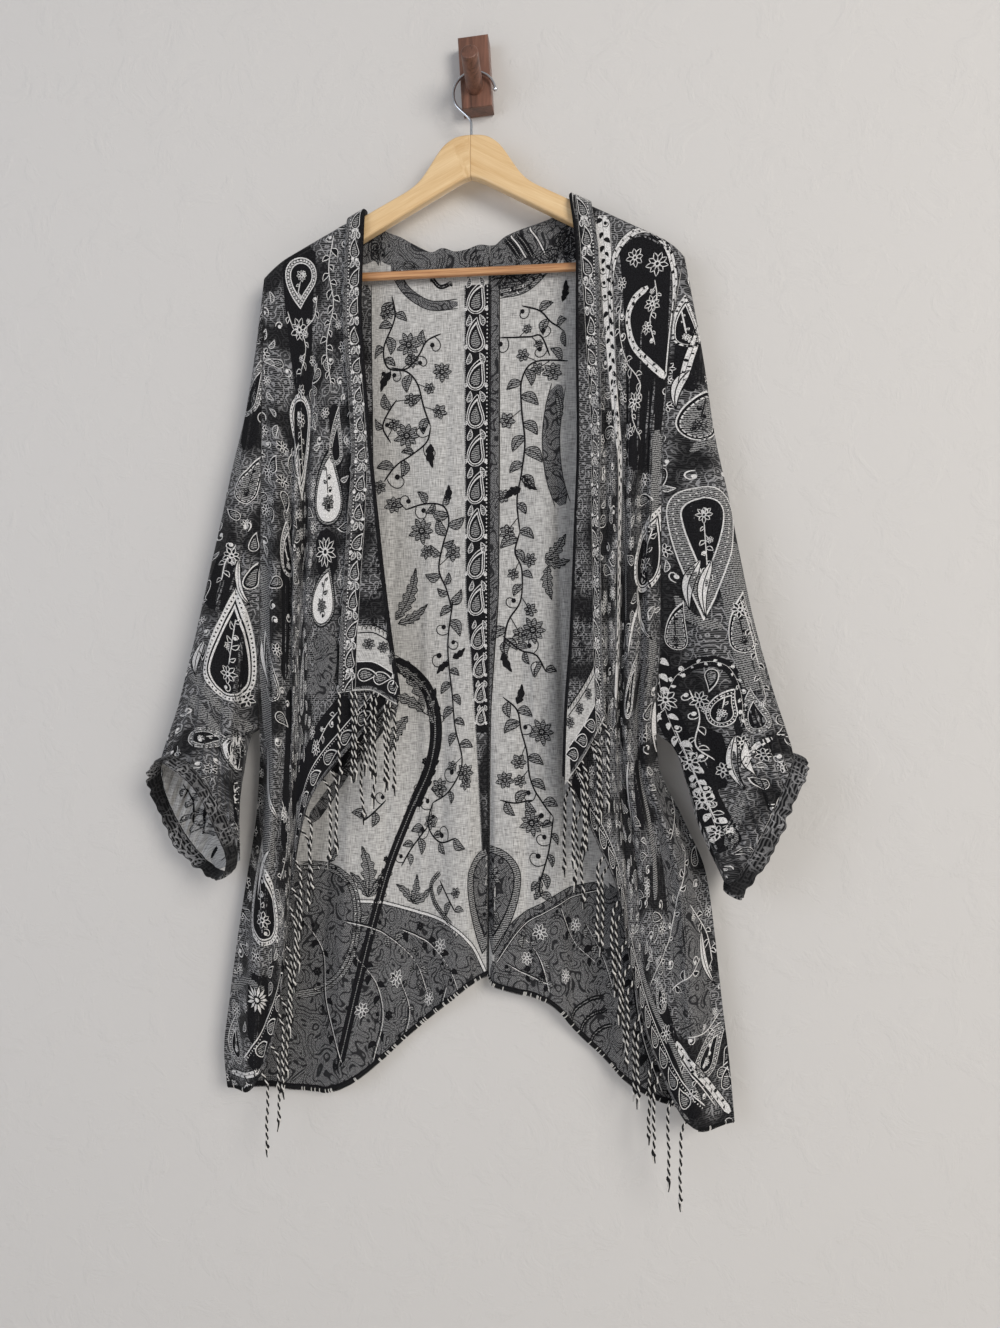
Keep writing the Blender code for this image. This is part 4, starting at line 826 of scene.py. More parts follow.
def lay(ground, spots, lift):
    """Points on a face at flat places, and whether each lies within the cloth's edges."""
    rows, columns = ground.flat.shape[:2]
    tree = KDTree(rows * columns)
    for index, (s, t) in enumerate(ground.flat.reshape(-1, 2)):
        tree.insert((s, t, 0), index)
    tree.balance()
    near = np.array([tree.find((s, t, 0))[1] for s, t in spots])
    r, c = (near // columns).astype(float), (near % columns).astype(float)
    for _ in range(6):
        i, j = np.clip(r.astype(int), 0, rows - 2), np.clip(c.astype(int), 0, columns - 2)
        u, v = (r - i)[:, None], (c - j)[:, None]
        a, b, d, e = (ground.flat[i + m, j + n] for m, n in ((0, 0), (0, 1), (1, 0), (1, 1)))
        miss = spots - (a * (1 - u) * (1 - v) + b * (1 - u) * v + d * u * (1 - v) + e * u * v)
        down, over = (d - a) * (1 - v) + (e - b) * v, (b - a) * (1 - u) + (e - d) * u
        area = down[:, 0] * over[:, 1] - down[:, 1] * over[:, 0]
        area = np.where(np.abs(area) < 1e-6, 1e-6, area)
        r = r + np.clip((miss[:, 0] * over[:, 1] - miss[:, 1] * over[:, 0]) / area, -2, 2)
        c = c + np.clip((down[:, 0] * miss[:, 1] - down[:, 1] * miss[:, 0]) / area, -2, 2)
    inside = (r > -0.01) & (r < rows - 0.99) & (c > -0.01) & (c < columns - 0.99)
    r, c = np.clip(r, 0, rows - 1), np.clip(c, 0, columns - 1)
    i, j = np.minimum(r.astype(int), rows - 2), np.minimum(c.astype(int), columns - 2)
    u, v = (r - i)[:, None], (c - j)[:, None]
    shares = ((0, 0, (1 - u) * (1 - v)), (0, 1, (1 - u) * v), (1, 0, u * (1 - v)), (1, 1, u * v))
    points = sum(ground.points[i + m, j + n] * w for m, n, w in shares)
    normals = unit(sum(ground.normals[i + m, j + n] * w for m, n, w in shares))
    return points + normals * (CLOTH / 2 + lift)[:, None], normals, inside


def woven(name, ground, strips, changed=False):
    """One thin layer of all the figures on a face of the cloth."""
    spots = np.concatenate([strip.spots.reshape(-1, 2) for strip in strips])
    levels = np.concatenate([np.full(strip.spots.size // 2, strip.level) for strip in strips])
    points, normals, inside = lay(ground, spots, FIGURE_LIFT + LEVEL_LIFT * levels)
    faces, slots, start = [], [], 0
    for strip in strips:
        n, m = strip.spots.shape[:2]
        first = start + np.arange(n - 1)[:, None] * m + np.arange(m - 1)[None, :]
        faces.append(np.stack([first, first + 1, first + m + 1, first + m], axis=-1).reshape(-1, 4))
        slots.append(np.full((n - 1) * (m - 1), CHANGED[strip.yarn] if changed else strip.yarn))
        start += n * m
    faces, slots = np.concatenate(faces), np.concatenate(slots)
    kept = inside[faces].all(axis=1)
    faces, slots = faces[kept], slots[kept]
    turned = np.cross(points[faces[:, 2]] - points[faces[:, 0]], points[faces[:, 3]] - points[faces[:, 1]])
    wrong = np.sum(turned * normals[faces[:, 0]], axis=1) < 0
    faces[wrong] = faces[wrong, ::-1]
    used, faces = np.unique(faces, return_inverse=True)
    faces = faces.reshape(-1, 4)
    piece = make(name, points[used], faces.tolist(), figure_yarns, slots, spots[used][faces] * MM, thin=True)
    return piece


def lifted(strips, rise):
    """The same strips, higher on the cloth."""
    return [strip._replace(level=strip.level + rise) for strip in strips]


def square_to(path):
    """The directions across a flat path, each of length 1."""
    lead = np.gradient(path, axis=0)
    return np.stack([-lead[:, 1], lead[:, 0]], axis=1) / np.maximum(np.linalg.norm(lead, axis=1), 1e-6)[:, None]


def upward(lean):
    """The direction from a leaning figure's head to its tip."""
    return np.array([math.sin(math.radians(lean)), -math.cos(math.radians(lean))])


def ribbon(path, width, yarn, level=2):
    """A line of yarn along a path, thinner at its ends."""
    path = np.asarray(path, float)
    run = run_of(path)
    at = np.linspace(0, run[-1], max(3, int(run[-1] / STITCH) + 2))
    line = stepped(path, run, at)
    side = square_to(line)
    thin = np.minimum(1, 0.4 + np.minimum(at, run[-1] - at) / (min(4 * width, 14) + 1))
    share = np.linspace(-0.5, 0.5, max(2, int(width / 3) + 2))
    return [Strip(line[:, None] + side[:, None] * (thin[:, None] * share * width)[..., None], yarn, level)]


def dots(path, pitch, size, yarn, level=2):
    """A row of small lozenges along a path."""
    path = np.asarray(path, float)
    run = run_of(path)
    lozenge = size / 2 * np.array([[(0, -1), (1, 0)], [(-1, 0), (0, 1)]])
    at = np.arange(pitch / 2, run[-1], pitch)
    return [Strip(spot + lozenge, yarn, level) for spot in stepped(path, run, at)]


def disc(place, radius, yarn, level=2):
    """A round spot of yarn."""
    turn = np.linspace(0, 2 * math.pi, 9)
    rim = np.stack([np.cos(turn), np.sin(turn)], axis=1) * radius
    return [Strip(np.asarray(place, float) + np.stack([rim * 0.04, rim], axis=1), yarn, level)]


def leaf(foot, tip, width, fill, line, bow=0.12, level=1, lobes=0):
    """A leaf between two places: a filled blade with drawn edges, cut into lobes if there are any."""
    foot, lead = np.asarray(foot, float), np.asarray(tip, float) - np.asarray(foot, float)
    q = np.linspace(0, 1, max(5, 5 * lobes, int(np.linalg.norm(lead) / STITCH) + 2))[:, None]
    side = np.array([-lead[1], lead[0]])
    spine = foot + lead * q + side * bow * np.sin(math.pi * q)
    half = side / max(np.linalg.norm(side), 1e-6) * width / 2 * (0.06 + np.sin(math.pi * q ** 0.75))
    if lobes:
        half = half * (0.4 + 0.6 * (lobes * q % 1))
    drawn = ribbon(spine - half, DRAWN, line, level + 1) + ribbon(spine + half, DRAWN, line, level + 1)
    if width > 7:
        drawn += ribbon(spine, DRAWN, line, level + 1)
    return [Strip(np.stack([spine - half, spine, spine + half], axis=1), fill, level)] + drawn


def flower(place, radius, petals, fill, line, turn=0.0, level=1):
    """A flower seen from the front: drawn petals round a spotted middle."""
    strips = []
    for angle in turn + np.arange(petals) * 2 * math.pi / petals:
        lead = np.array([math.cos(angle), math.sin(angle)])
        reach = radius * (1 + 0.1 * math.sin(5 * angle))
        strips += leaf(place + lead * radius * 0.25, place + lead * reach, 3.6 * radius / petals, fill, line, 0, level)
    return strips + disc(place, radius * 0.3, line, level + 1) + disc(place, radius * 0.16, fill, level + 2)


def curl(foot, size, lead, hand, yarn, width=1.0, level=2):
    """A tendril that winds up round a dot."""
    q = np.linspace(0, 1, 19)
    heading = lead + hand * 4.6 * q ** 1.7
    steps = np.stack([np.cos(heading), np.sin(heading)], axis=1) * size * 4.2 / 25
    path = np.asarray(foot, float) + np.cumsum(steps, axis=0) - steps[0]
    return ribbon(path, width, yarn, level) + disc(path[-1], 1.5 + 0.12 * size, yarn, level)


def vine(path, spacing, reach, fill, line, seed, width=1.1):
    """A stem with leaves to either side by turns, and now and then a tendril or a bud."""
    rng = np.random.default_rng(seed)
    path = smoothed(path, max(12, int(np.linalg.norm(np.diff(path, axis=0), axis=1).sum() / STITCH)))
    run = run_of(path)
    strips = ribbon(path, width, line)
    hand = 1
    for at in np.arange(spacing * 0.6, run[-1], spacing):
        spot = stepped(path, run, at)
        lead = stepped(np.gradient(path, axis=0), run, at)
        heading = math.atan2(lead[1], lead[0]) + hand * rng.uniform(0.6, 1.1)
        far = reach * rng.uniform(0.75, 1.2)
        tip = spot + far * np.array([math.cos(heading), math.sin(heading)])
        kind = rng.uniform()
        if kind < 0.66:
            strips += leaf(spot, tip, far * 0.5, fill, line, 0.16 * hand)
        elif kind < 0.88:
            strips += curl(spot, far * 0.6, heading, hand, line)
        else:
            strips += ribbon([spot, tip], DRAWN, line) + flower(tip, far * 0.45, 6, fill, line, at)
        hand = -hand
    return strips


def sides_of(drop, scale=1.0):
    """The two sides of a paisley drop, from the foot of its round head to its bent tip."""
    head = np.linspace(0, math.pi / 2, max(6, int(1.6 * drop.radius / STITCH)))
    q = np.concatenate([-np.cos(head)[:-1], np.linspace(0, 1, max(8, int(1.15 * drop.length / STITCH)))])
    up = np.maximum(q, 0)
    half = drop.radius * np.where(q < 0, np.sqrt(np.maximum(0, 1 - q * q)), 1 - up ** 1.7)
    spine = np.stack([drop.bend * drop.length * up ** 2.2, np.where(q < 0, q * drop.radius, q * drop.length)], axis=1)
    lead = unit(np.stack([2.2 * drop.bend * up ** 1.2, np.ones(len(q))], axis=1))
    out = np.stack([lead[:, 1], -lead[:, 0]], axis=1) * half[:, None]
    x, y = np.moveaxis(np.stack([spine - out, spine + out], axis=1) * scale, -1, 0)
    cos, sin = math.cos(math.radians(drop.lean)), math.sin(math.radians(drop.lean))
    return np.asarray(drop.place) + np.stack([x * cos + y * sin, x * sin - y * cos], axis=-1)


def round_of(drop, scale):
    """The drop's outline as one path."""
    sides = sides_of(drop, scale)
    return np.concatenate([sides[:, 0], sides[::-1, 1]])


def core(drop, scale, yarn, level=0):
    """The drop filled in."""
    sides = sides_of(drop, scale)
    share = np.linspace(0, 1, max(3, int(2 * drop.radius * scale / 3) + 1))[None, :, None]
    return [Strip(sides[:, :1] + (sides[:, 1:] - sides[:, :1]) * share, yarn, level)]


def band(drop, outer, inner, yarn, level=1):
    """A band between two of the drop's outlines."""
    a, b = round_of(drop, outer), round_of(drop, inner)
    wide = np.linalg.norm(a - b, axis=1).max()
    share = np.linspace(0, 1, max(2, int(wide / 3) + 2))[None, :, None]
    return [Strip(a[:, None] + (b - a)[:, None] * share, yarn, level)]


Band = namedtuple("Band", "outer inner yarn")
STYLES = {
    "dotted": [Band(1, 0.92, WHITE), Band(0.92, 0.74, BLACK), Band(0.74, 0.68, WHITE), Band(0.68, 0, BLACK)],
    "ringed": [Band(1, 0.84, WHITE), Band(0.84, 0.79, BLACK), Band(0.79, 0.73, WHITE), Band(0.73, 0, BLACK)],
    "hatched": [Band(1, 0.96, WHITE), Band(0.96, 0.62, HATCH), Band(0.62, 0.58, WHITE), Band(0.58, 0, BLACK)],
    "pale": [Band(1, 0.92, BLACK), Band(0.92, 0.84, HATCH), Band(0.84, 0.8, BLACK), Band(0.8, 0, WHITE)],
    "lined": [Band(1, 0.93, WHITE), Band(0.93, 0.82, BLACK), Band(0.82, 0.76, WHITE), Band(0.76, 0, HATCH)],
    "spotted": [Band(1, 0.94, WHITE), Band(0.94, 0.72, HATCH), Band(0.72, 0.66, WHITE), Band(0.66, 0, BLACK)],
    "twilled": [Band(1, 0.97, BLACK), Band(0.97, 0.78, HATCH), Band(0.78, 0.74, BLACK), Band(0.74, 0, TWILL)],
    "small": [Band(1, 0.87, WHITE), Band(0.87, 0.62, BLACK), Band(0.62, 0, HATCH)],
}


def paisley(drop, style, seed=0):
    """A paisley drop of nested bands, with a spray of flowers in its heart if there is room."""
    bands = STYLES[style]
    strips = core(drop, bands[-1].outer, bands[-1].yarn, 0)
    for row in bands[:-1]:
        strips += band(drop, row.outer, row.inner, row.yarn)
    line = WHITE if bands[-1].yarn == BLACK else BLACK
    if style == "dotted":
        strips += dots(round_of(drop, 0.83), 3.2, 1.7, WHITE)
    if style in ("hatched", "lined"):
        strips += dots(round_of(drop, 0.8), 5.0, 2.0, line)
    if style == "ringed":
        strips += dots(round_of(drop, 0.92), 5.0, 2.6, BLACK)
    if style == "spotted":
        strips += dots(round_of(drop, 0.83), 4.0, 2.6, WHITE)
    heart = drop.radius * bands[-1].outer
    if heart > 7:
        place, fill = np.asarray(drop.place), HATCH if line == BLACK else BLACK
        up = upward(drop.lean)
        strips += flower(place, heart * 0.48, 8, fill, line, 0.2 * seed)
        stem = [place + up * heart * 0.5, place + up * heart * 1.2, place + up * drop.length * 0.62]
        strips += vine(stem, 7.0, 0.42 * heart, fill, line, seed)
        strips += curl(place - up * heart * 0.45, heart * 0.3, 0.4 + seed, 1, line)
    return strips


# The two halves of the back, with the yarns that their neck and hem zones change to
OUTWARD_BACK = np.array([0, 1.0, 0])
OUTWARD_FRONT = np.array([0, -1.0, 0])
backs, back_normals, back_pieces = {}, {}, {}
for side in (LEFT, RIGHT):
    grid = back_panel(side)
    normals = normals_of(grid, OUTWARD_BACK)
    on_arm = np.abs(grid[0, :, 1] - HANGER_Y) < 1
    normals[0, on_arm] = np.array([0, 0, 1.0])
    normals[:, 0, 0] = 0
    normals[:, 0] = unit(normals[:, 0])
    backs[side.name], back_normals[side.name] = grid, normals
    flat = flat_places(grid, -side.toward)
    piece = shell("back_" + side.name + "_cloth", grid, normals, flat, FACES + figure_yarns[2:])
    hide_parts("back_" + side.name)
    back_pieces[side.name] = piece

Vine = namedtuple("Vine", "path spacing reach seed")
Bloom = namedtuple("Bloom", "place radius petals")
BACK_VINES = {
    "left": [
        Vine(
            [(392, 296), (395, 318), (384, 348), (388, 368), (407, 372), (418, 385), (424, 408), (431, 427)],
            15, 16, 1,
        ),
        Vine([(431, 427), (427, 442), (412, 455), (396, 466), (384, 482)], 16, 16, 2),
        Vine([(391, 368), (407, 369), (419, 355), (427, 341), (441, 334)], 17, 15, 3),
        Vine([(391, 443), (383, 427), (390, 410), (397, 400)], 13, 14, 4),
        Vine(
            [(452, 610), (447, 590), (439, 570), (443, 545), (449, 522), (443, 506), (425, 504), (405, 510)],
            13, 16, 5,
        ),
        Vine([(453, 600), (448, 647), (453, 697), (455, 727), (462, 763), (450, 790), (433, 803)], 16, 16, 6),
        Vine([(433, 803), (428, 825), (440, 842), (456, 838)], 13, 14, 7),
        Vine([(428, 826), (412, 848), (402, 866)], 13, 14, 8),
        Vine([(440, 880), (447, 895), (455, 912)], 13, 12, 9),
        Vine([(386, 800), (372, 814), (362, 822)], 13, 15, 10),
    ],
    "right": [
        Vine(
            [(568, 361), (535, 362), (522, 380), (522, 410), (525, 442), (522, 472), (517, 500), (520, 532)],
            17, 18, 11,
        ),
        Vine([(520, 532), (515, 552), (522, 570), (521, 600), (508, 622), (503, 650)], 15, 16, 12),
        Vine([(500, 338), (530, 337), (541, 336), (550, 356)], 16, 14, 13),
        Vine([(522, 306), (540, 311), (552, 323), (563, 331)], 15, 14, 14),
        Vine([(503, 636), (520, 650), (536, 655), (546, 672)], 13, 14, 15),
        Vine([(503, 697), (517, 710), (521, 730), (527, 752), (531, 780), (543, 803), (553, 817)], 15, 16, 16),
        Vine([(553, 817), (549, 850), (540, 883), (541, 897)], 13, 15, 17),
        Vine([(500, 800), (515, 803), (533, 800)], 13, 14, 18),
    ],
}
BACK_BLOOMS = {
    "left": [
        Bloom((409, 345), 14, 9), Bloom((442, 372), 11, 8), Bloom((407, 436), 14, 9), Bloom((422, 531), 14, 9),
        Bloom((427, 552), 8, 7), Bloom((394, 505), 10, 7), Bloom((440, 787), 11, 7), Bloom((465, 773), 11, 8),
        Bloom((388, 312), 10, 7), Bloom((380, 487), 8, 6),
    ],
    "right": [
        Bloom((533, 630), 14, 9), Bloom((542, 732), 14, 9), Bloom((532, 823), 14, 9), Bloom((553, 372), 11, 7),
        Bloom((530, 560), 8, 7), Bloom((505, 780), 10, 7),
    ],
}
# Single leaves, each from its foot to its tip
Frond = namedtuple("Frond", "foot tip width lobes fill")
BACK_FRONDS = {
    "left": [
        Frond((391, 372), (381, 392), 10, 3, BLACK), Frond((431, 444), (433, 468), 12, 3, BLACK),
        Frond((446, 503), (449, 485), 10, 3, BLACK), Frond((449, 662), (437, 674), 9, 3, BLACK),
        Frond((453, 658), (465, 648), 9, 3, BLACK), Frond((396, 620), (416, 568), 17, 6, HATCH),
        Frond((388, 626), (372, 596), 13, 5, HATCH), Frond((398, 624), (428, 604), 13, 5, HATCH),
        Frond((368, 897), (362, 846), 20, 6, HATCH), Frond((368, 897), (384, 868), 12, 4, HATCH),
        Frond((368, 897), (350, 872), 12, 4, HATCH), Frond((412, 902), (396, 884), 11, 4, HATCH),
        Frond((412, 902), (417, 874), 13, 5, HATCH), Frond((412, 903), (432, 886), 11, 4, HATCH),
        Frond((436, 726), (394, 662), 24, 7, HATCH), Frond((424, 712), (384, 694), 14, 5, HATCH),
        Frond((408, 716), (390, 752), 16, 6, HATCH), Frond((330, 862), (338, 838), 12, 4, HATCH),
    ],
    "right": [
        Frond((523, 476), (537, 490), 11, 4, BLACK), Frond((521, 488), (505, 498), 11, 4, BLACK),
        Frond((545, 560), (566, 534), 16, 5, HATCH), Frond((545, 562), (570, 560), 14, 5, HATCH),
        Frond((548, 566), (552, 600), 15, 5, HATCH), Frond((503, 652), (512, 672), 10, 3, BLACK),
        Frond((517, 704), (522, 684), 10, 3, BLACK), Frond((562, 302), (566, 280), 10, 4, BLACK),
        Frond((560, 420), (556, 392), 12, 4, HATCH), Frond((535, 900), (540, 876), 10, 4, HATCH),
    ],
}
Arc = namedtuple("Arc", "path width yarn")
BACK_ARCS = {
    "left": [
        Arc([(366, 285), (367, 400), (370, 500), (376, 600), (379, 650)], 13, SCROLL),
        Arc([(396, 274), (405, 289), (418, 300), (434, 306), (458, 304)], 10, TWILL),
        Arc([(430, 276), (440, 287), (452, 283)], 4, BLACK),
        Arc(
            [(393, 663), (413, 677), (430, 697), (435, 727), (430, 767), (410, 813), (380, 897), (339, 1066)],
            10, BLACK,
        ),
        Arc([(414, 806), (431, 765), (436, 730), (430, 695), (413, 674), (390, 660)], 15, BLACK),
        Arc([(356, 901), (380, 902), (413, 910), (447, 923), (470, 943), (487, 975)], 3.6, WHITE),
        Arc([(300, 866), (326, 866), (347, 878), (357, 905), (354, 945), (340, 975), (318, 990), (296, 995)], 9, HATCH),
        Arc([(440, 872), (432, 885), (436, 905), (452, 925)], 5, HATCH),
    ],
    "right": [
        Arc([(499, 294), (520, 290), (534, 281), (546, 268)], 10, HATCH),
        Arc([(495, 955), (517, 923), (543, 907), (566, 893), (600, 885)], 8, TWILL),
        Arc([(497, 962), (521, 928), (546, 912), (568, 898), (600, 890)], 1.6, WHITE),
        Arc([(560, 385), (554, 410), (551, 440), (554, 475), (563, 505)], 19, TWILL),
        Arc([(520, 258), (512, 246), (506, 238)], 6, BLACK), Arc([(533, 258), (525, 244), (517, 234)], 6, BLACK),
        Arc([(526, 258), (518, 245), (511, 236)], 2.5, WHITE), Arc([(546, 256), (538, 240), (530, 228)], 2.5, WHITE),
        Arc([(568, 1040), (573, 1015), (588, 1000), (605, 996)], 4, BLACK),
        Arc([(577, 1048), (582, 1026), (593, 1014), (608, 1010)], 4, BLACK),
        Arc([(586, 1058), (592, 1038), (602, 1028), (612, 1025)], 4, BLACK),
    ],
}
# The dark ground and its border that show behind the left lapel's fringe, on the inside only
BEHIND_FRINGE = [
    Arc([(388, 682), (360, 722), (330, 768)], 46, BLACK),
    Arc([(397, 703), (369, 741), (340, 780), (310, 822)], 13, TWILL),
]
# The lower edge of the dark shoulder ground, and the upper edge of the grey ground at the hem
BACK_GROUNDS = {
    "left": (
        [(350, 268), (380, 262), (397, 272), (430, 276), (478, 276)],
        [
            (250, 868), (300, 866), (328, 867), (347, 879), (357, 901), (380, 902), (413, 910), (447, 923), (470, 943),
            (492, 980),
        ],
    ),
    "right": (
        [(480, 296), (520, 288), (546, 268), (560, 260), (600, 262)],
        [(488, 980), (497, 952), (517, 923), (543, 907), (566, 893), (600, 885), (720, 880)],
    ),
}
# How wide the dark band and the grey stripe show beside the middle seam; lower down they are folded under
Selvage = namedtuple("Selvage", "drop band stripe")
SELVAGE = [
    Selvage(222, 27, 9), Selvage(545, 26, 9), Selvage(625, 19, 5), Selvage(700, 14, 1.5), Selvage(834, 7, 0.6),
]
# Vines and flowers of the grey ground at the hem
HEM_VINES = {
    "left": [
        Vine([(345, 920), (370, 926), (395, 940), (416, 962), (426, 990)], 12, 13, 81),
        Vine([(402, 928), (430, 942), (450, 968), (462, 1000)], 12, 12, 82),
        Vine([(352, 952), (374, 980), (382, 1015), (372, 1058)], 13, 13, 83),
        Vine([(396, 972), (408, 1008), (402, 1042)], 12, 12, 84),
        Vine([(446, 985), (438, 1010), (424, 1026)], 11, 10, 85),
        Vine([(300, 915), (322, 950), (326, 1000), (340, 1060)], 13, 13, 86),
    ],
    "right": [
        Vine([(518, 932), (538, 955), (548, 990)], 11, 11, 87), Vine([(560, 906), (572, 938), (594, 960)], 11, 12, 88),
        Vine([(506, 962), (524, 972), (546, 982)], 10, 9, 89), Vine([(584, 922), (602, 955), (612, 985)], 11, 12, 90),
        Vine([(640, 900), (632, 960), (640, 1030), (660, 1090)], 13, 13, 91),
    ],
}
HEM_BLOOMS = {
    "left": [Bloom((396, 978), 10, 8), Bloom((440, 946), 9, 7), Bloom((430, 998), 8, 7), Bloom((362, 1010), 9, 7)],
    "right": [Bloom((540, 932), 9, 8), Bloom((527, 958), 7, 7), Bloom((575, 925), 8, 7), Bloom((566, 976), 8, 8)],
}
MIDDLE_DROP = Drop((493, 876), 32, 84, 182, 0.02)
ZONE_SLOT = 4  # the slot of the grey twill in the back's cloth
BAND_TOP = 246.0  # the drop of the selvage band's first figure
BAND_STEP = 41
BAND_LEVEL = 1.2
ON_BAND = 2.2  # the level of what is drawn on the band
SHOULDER_TRIES = 60
SHOULDER_DEEP = 90


def zoned(piece, ground, shoulder, hem):
    """Gives both faces of the cloth the grey twill above the shoulder's line and below the hem's."""
    cells = (ground.flat[:-1, :-1] + ground.flat[1:, 1:]) / 2
    above = cells[..., 1] < np.interp(cells[..., 0], *shoulder.T)
    below = cells[..., 1] > np.interp(cells[..., 0], *hem.T)
    polygons = piece.data.polygons
    slots = np.zeros(len(polygons), np.int32)
    polygons.foreach_get("material_index", slots)
    for start in (0, above.size):
        plain = slots[start:start + above.size].reshape(above.shape)
        slots[start:start + above.size] = np.where(above | below, ZONE_SLOT, plain).ravel()
    polygons.foreach_set("material_index", slots)


def arched(ground, rows):
    """Bands of yarn with black edges; the black and the hatched ones carry small leaves."""
    strips = []
    for row in rows:
        path = smoothed(flat_at(ground, row.path), 60)
        strips += ribbon(path, row.width, row.yarn, 0.6)
        across = square_to(path)
        for edge in (-0.5, 0.5):
            strips += ribbon(path + across * edge * row.width, DRAWN, BLACK, 1.6)
        if row.yarn == BLACK:
            strips += vine(path[::6], 6.0, row.width * 0.7, BLACK, BLACK, row.width) + ribbon(path, DRAWN, HATCH, 2.6)
        elif row.yarn == HATCH:
            strips += vine(path[::6], 8.0, row.width * 0.5, WHITE, BLACK, row.width)
    return strips


def shoulder_scrolls(ground, shoulder, seed):
    """Small drops and tendrils strewn over the dark ground of a shoulder."""
    rng = np.random.default_rng(seed)
    strips = []
    for place in rng.uniform(0, 1, (SHOULDER_TRIES, 2)):
        column = int((0.01 + 0.97 * place[0]) * (BACK_COLUMNS - 1))
        s, top = ground.flat[WRAP_ROWS, column]
        spot = np.array([s, top + 4 + place[1] * SHOULDER_DEEP])
        if spot[1] < np.interp(spot[0], *shoulder.T) - 5:
            drop = Drop(spot, rng.uniform(4, 8), rng.uniform(12, 24), rng.uniform(0, 360), 0.25)
            strips += band(drop, 1, 0.86, BLACK) + band(drop, 0.6, 0.45, BLACK)
            strips += curl(spot + 5, 5, drop.lean, 1, BLACK, DRAWN)
    return strips


def selvage_band(seam, away):
    """The dark band beside the middle seam: a dotted edge and small drops between leaves, scrolled lower down."""
    seam = seam[seam[:, 1] < SELVAGE[-1].drop]
    edge = away * through(SELVAGE, "drop", "band", seam[:, 1])[:, None]
    wide = seam[:, None] + edge[:, None] * np.linspace(0, 1, 14)[None, :, None]
    plain = np.searchsorted(seam[:, 1], SELVAGE[3].drop)
    strips = [Strip(wide[:plain + 1], BLACK, BAND_LEVEL), Strip(wide[plain:], SCROLL, BAND_LEVEL)]
    strips += ribbon(seam + edge, 1.0, HATCH, ON_BAND)
    strips += dots(seam[seam[:, 1] < SELVAGE[2].drop] + away * 2.2, 4.2, 1.9, WHITE, ON_BAND)
    t = BAND_TOP
    while t < SELVAGE[3].drop:
        size = float(through(SELVAGE, "drop", "band", t)) / SELVAGE[0].band
        s = np.interp(t, seam[:, 1], seam[:, 0]) - 15 * size
        drop = Drop((s, t), 8.4 * size, 22 * size, 10 * math.sin(t), 0.24)
        strips += lifted(paisley(drop, "small"), 2.4)
        strips += ribbon(round_of(drop, 1.2), DRAWN, WHITE, ON_BAND)
        for offset in (-9 * size, 9 * size):
            spot = np.array([s + offset, t - 18 * size])
            strips += leaf(spot, spot + (-offset * 0.4, -12 * size), 5.5 * size, HATCH, WHITE, 0.1, ON_BAND)
            hand = math.copysign(1, offset)
            strips += curl(spot + (0, 24 * size), 3.2 * size, -1.5, hand, WHITE, DRAWN, ON_BAND)
        t += BAND_STEP * size
    return strips


def selvage_stripe(seam, away):
    """The grey stripe on the seam's other side, between two black lines."""
    edge = away * through(SELVAGE, "drop", "stripe", seam[:, 1])[:, None]
    wide = seam[:, None] + away * 1.5 + edge[:, None] * np.linspace(0, 1, 6)[None, :, None]
    lines = ribbon(seam + edge + away * 2.5, 1.3, BLACK, ON_BAND) + ribbon(seam + away, 1.2, BLACK, ON_BAND)
    return [Strip(wide, TWILL, BAND_LEVEL)] + lines


for side in (LEFT, RIGHT):
    name, grid, outside = side.name, backs[side.name], back_normals[side.name]
    ground = ground_of(grid, -outside, flat_places(grid, -side.toward))
    shoulder, hem = (flat_at(ground, path) for path in BACK_GROUNDS[name])
    zoned(back_pieces[name], ground, shoulder, hem)
    strips = arched(ground, BACK_ARCS[name])
    for row in BACK_VINES[name]:
        strips += vine(flat_at(ground, row.path), 0.85 * row.spacing, 1.15 * row.reach, HATCH, BLACK, row.seed, 1.8)
    for row in BACK_BLOOMS[name]:
        strips += flower(flat_at(ground, row.place)[0], row.radius, row.petals, HATCH, BLACK, row.radius)
    for row in BACK_FRONDS[name]:
        foot, tip = flat_at(ground, [row.foot, row.tip])
        strips += leaf(foot, tip, row.width, row.fill, BLACK, 0.08, 1, row.lobes)
    drop = MIDDLE_DROP._replace(place=flat_at(ground, MIDDLE_DROP.place)[0])
    strips += paisley(drop, "twilled", 3)
    for row in HEM_VINES[name]:
        path, fill = flat_at(ground, row.path), BLACK if row.seed % 3 else HATCH
        strips += vine(path, row.spacing, row.reach, fill, BLACK, row.seed, 1.5)
        strips += ribbon(smoothed(path, 40) + 2.2, DRAWN, WHITE)
    for row in HEM_BLOOMS[name]:
        strips += flower(flat_at(ground, row.place)[0], row.radius, row.petals, TWILL, WHITE, row.radius)
    strips += shoulder_scrolls(ground, shoulder, 21 + side.toward)
    seam, away = ground.flat[WRAP_ROWS:, 0], np.array([side.toward, 0.0])
    seam = seam[seam[:, 1] > SELVAGE[0].drop]
    strips += selvage_band(seam, away) if side is LEFT else selvage_stripe(seam, away)
    strips.append(Strip(ground.flat[-2:], BLACK, 3.0))
    behind = []
    for row in BEHIND_FRINGE if side is LEFT else []:
        behind += ribbon(smoothed(flat_at(ground, row.path), 40), row.width, row.yarn, 0.3)
    reverse = ground_of(grid, outside, ground.flat)
    woven("back_" + name + "_inner_figures", ground, behind + strips)
    woven("back_" + name + "_outer_figures", reverse, strips, changed=True)

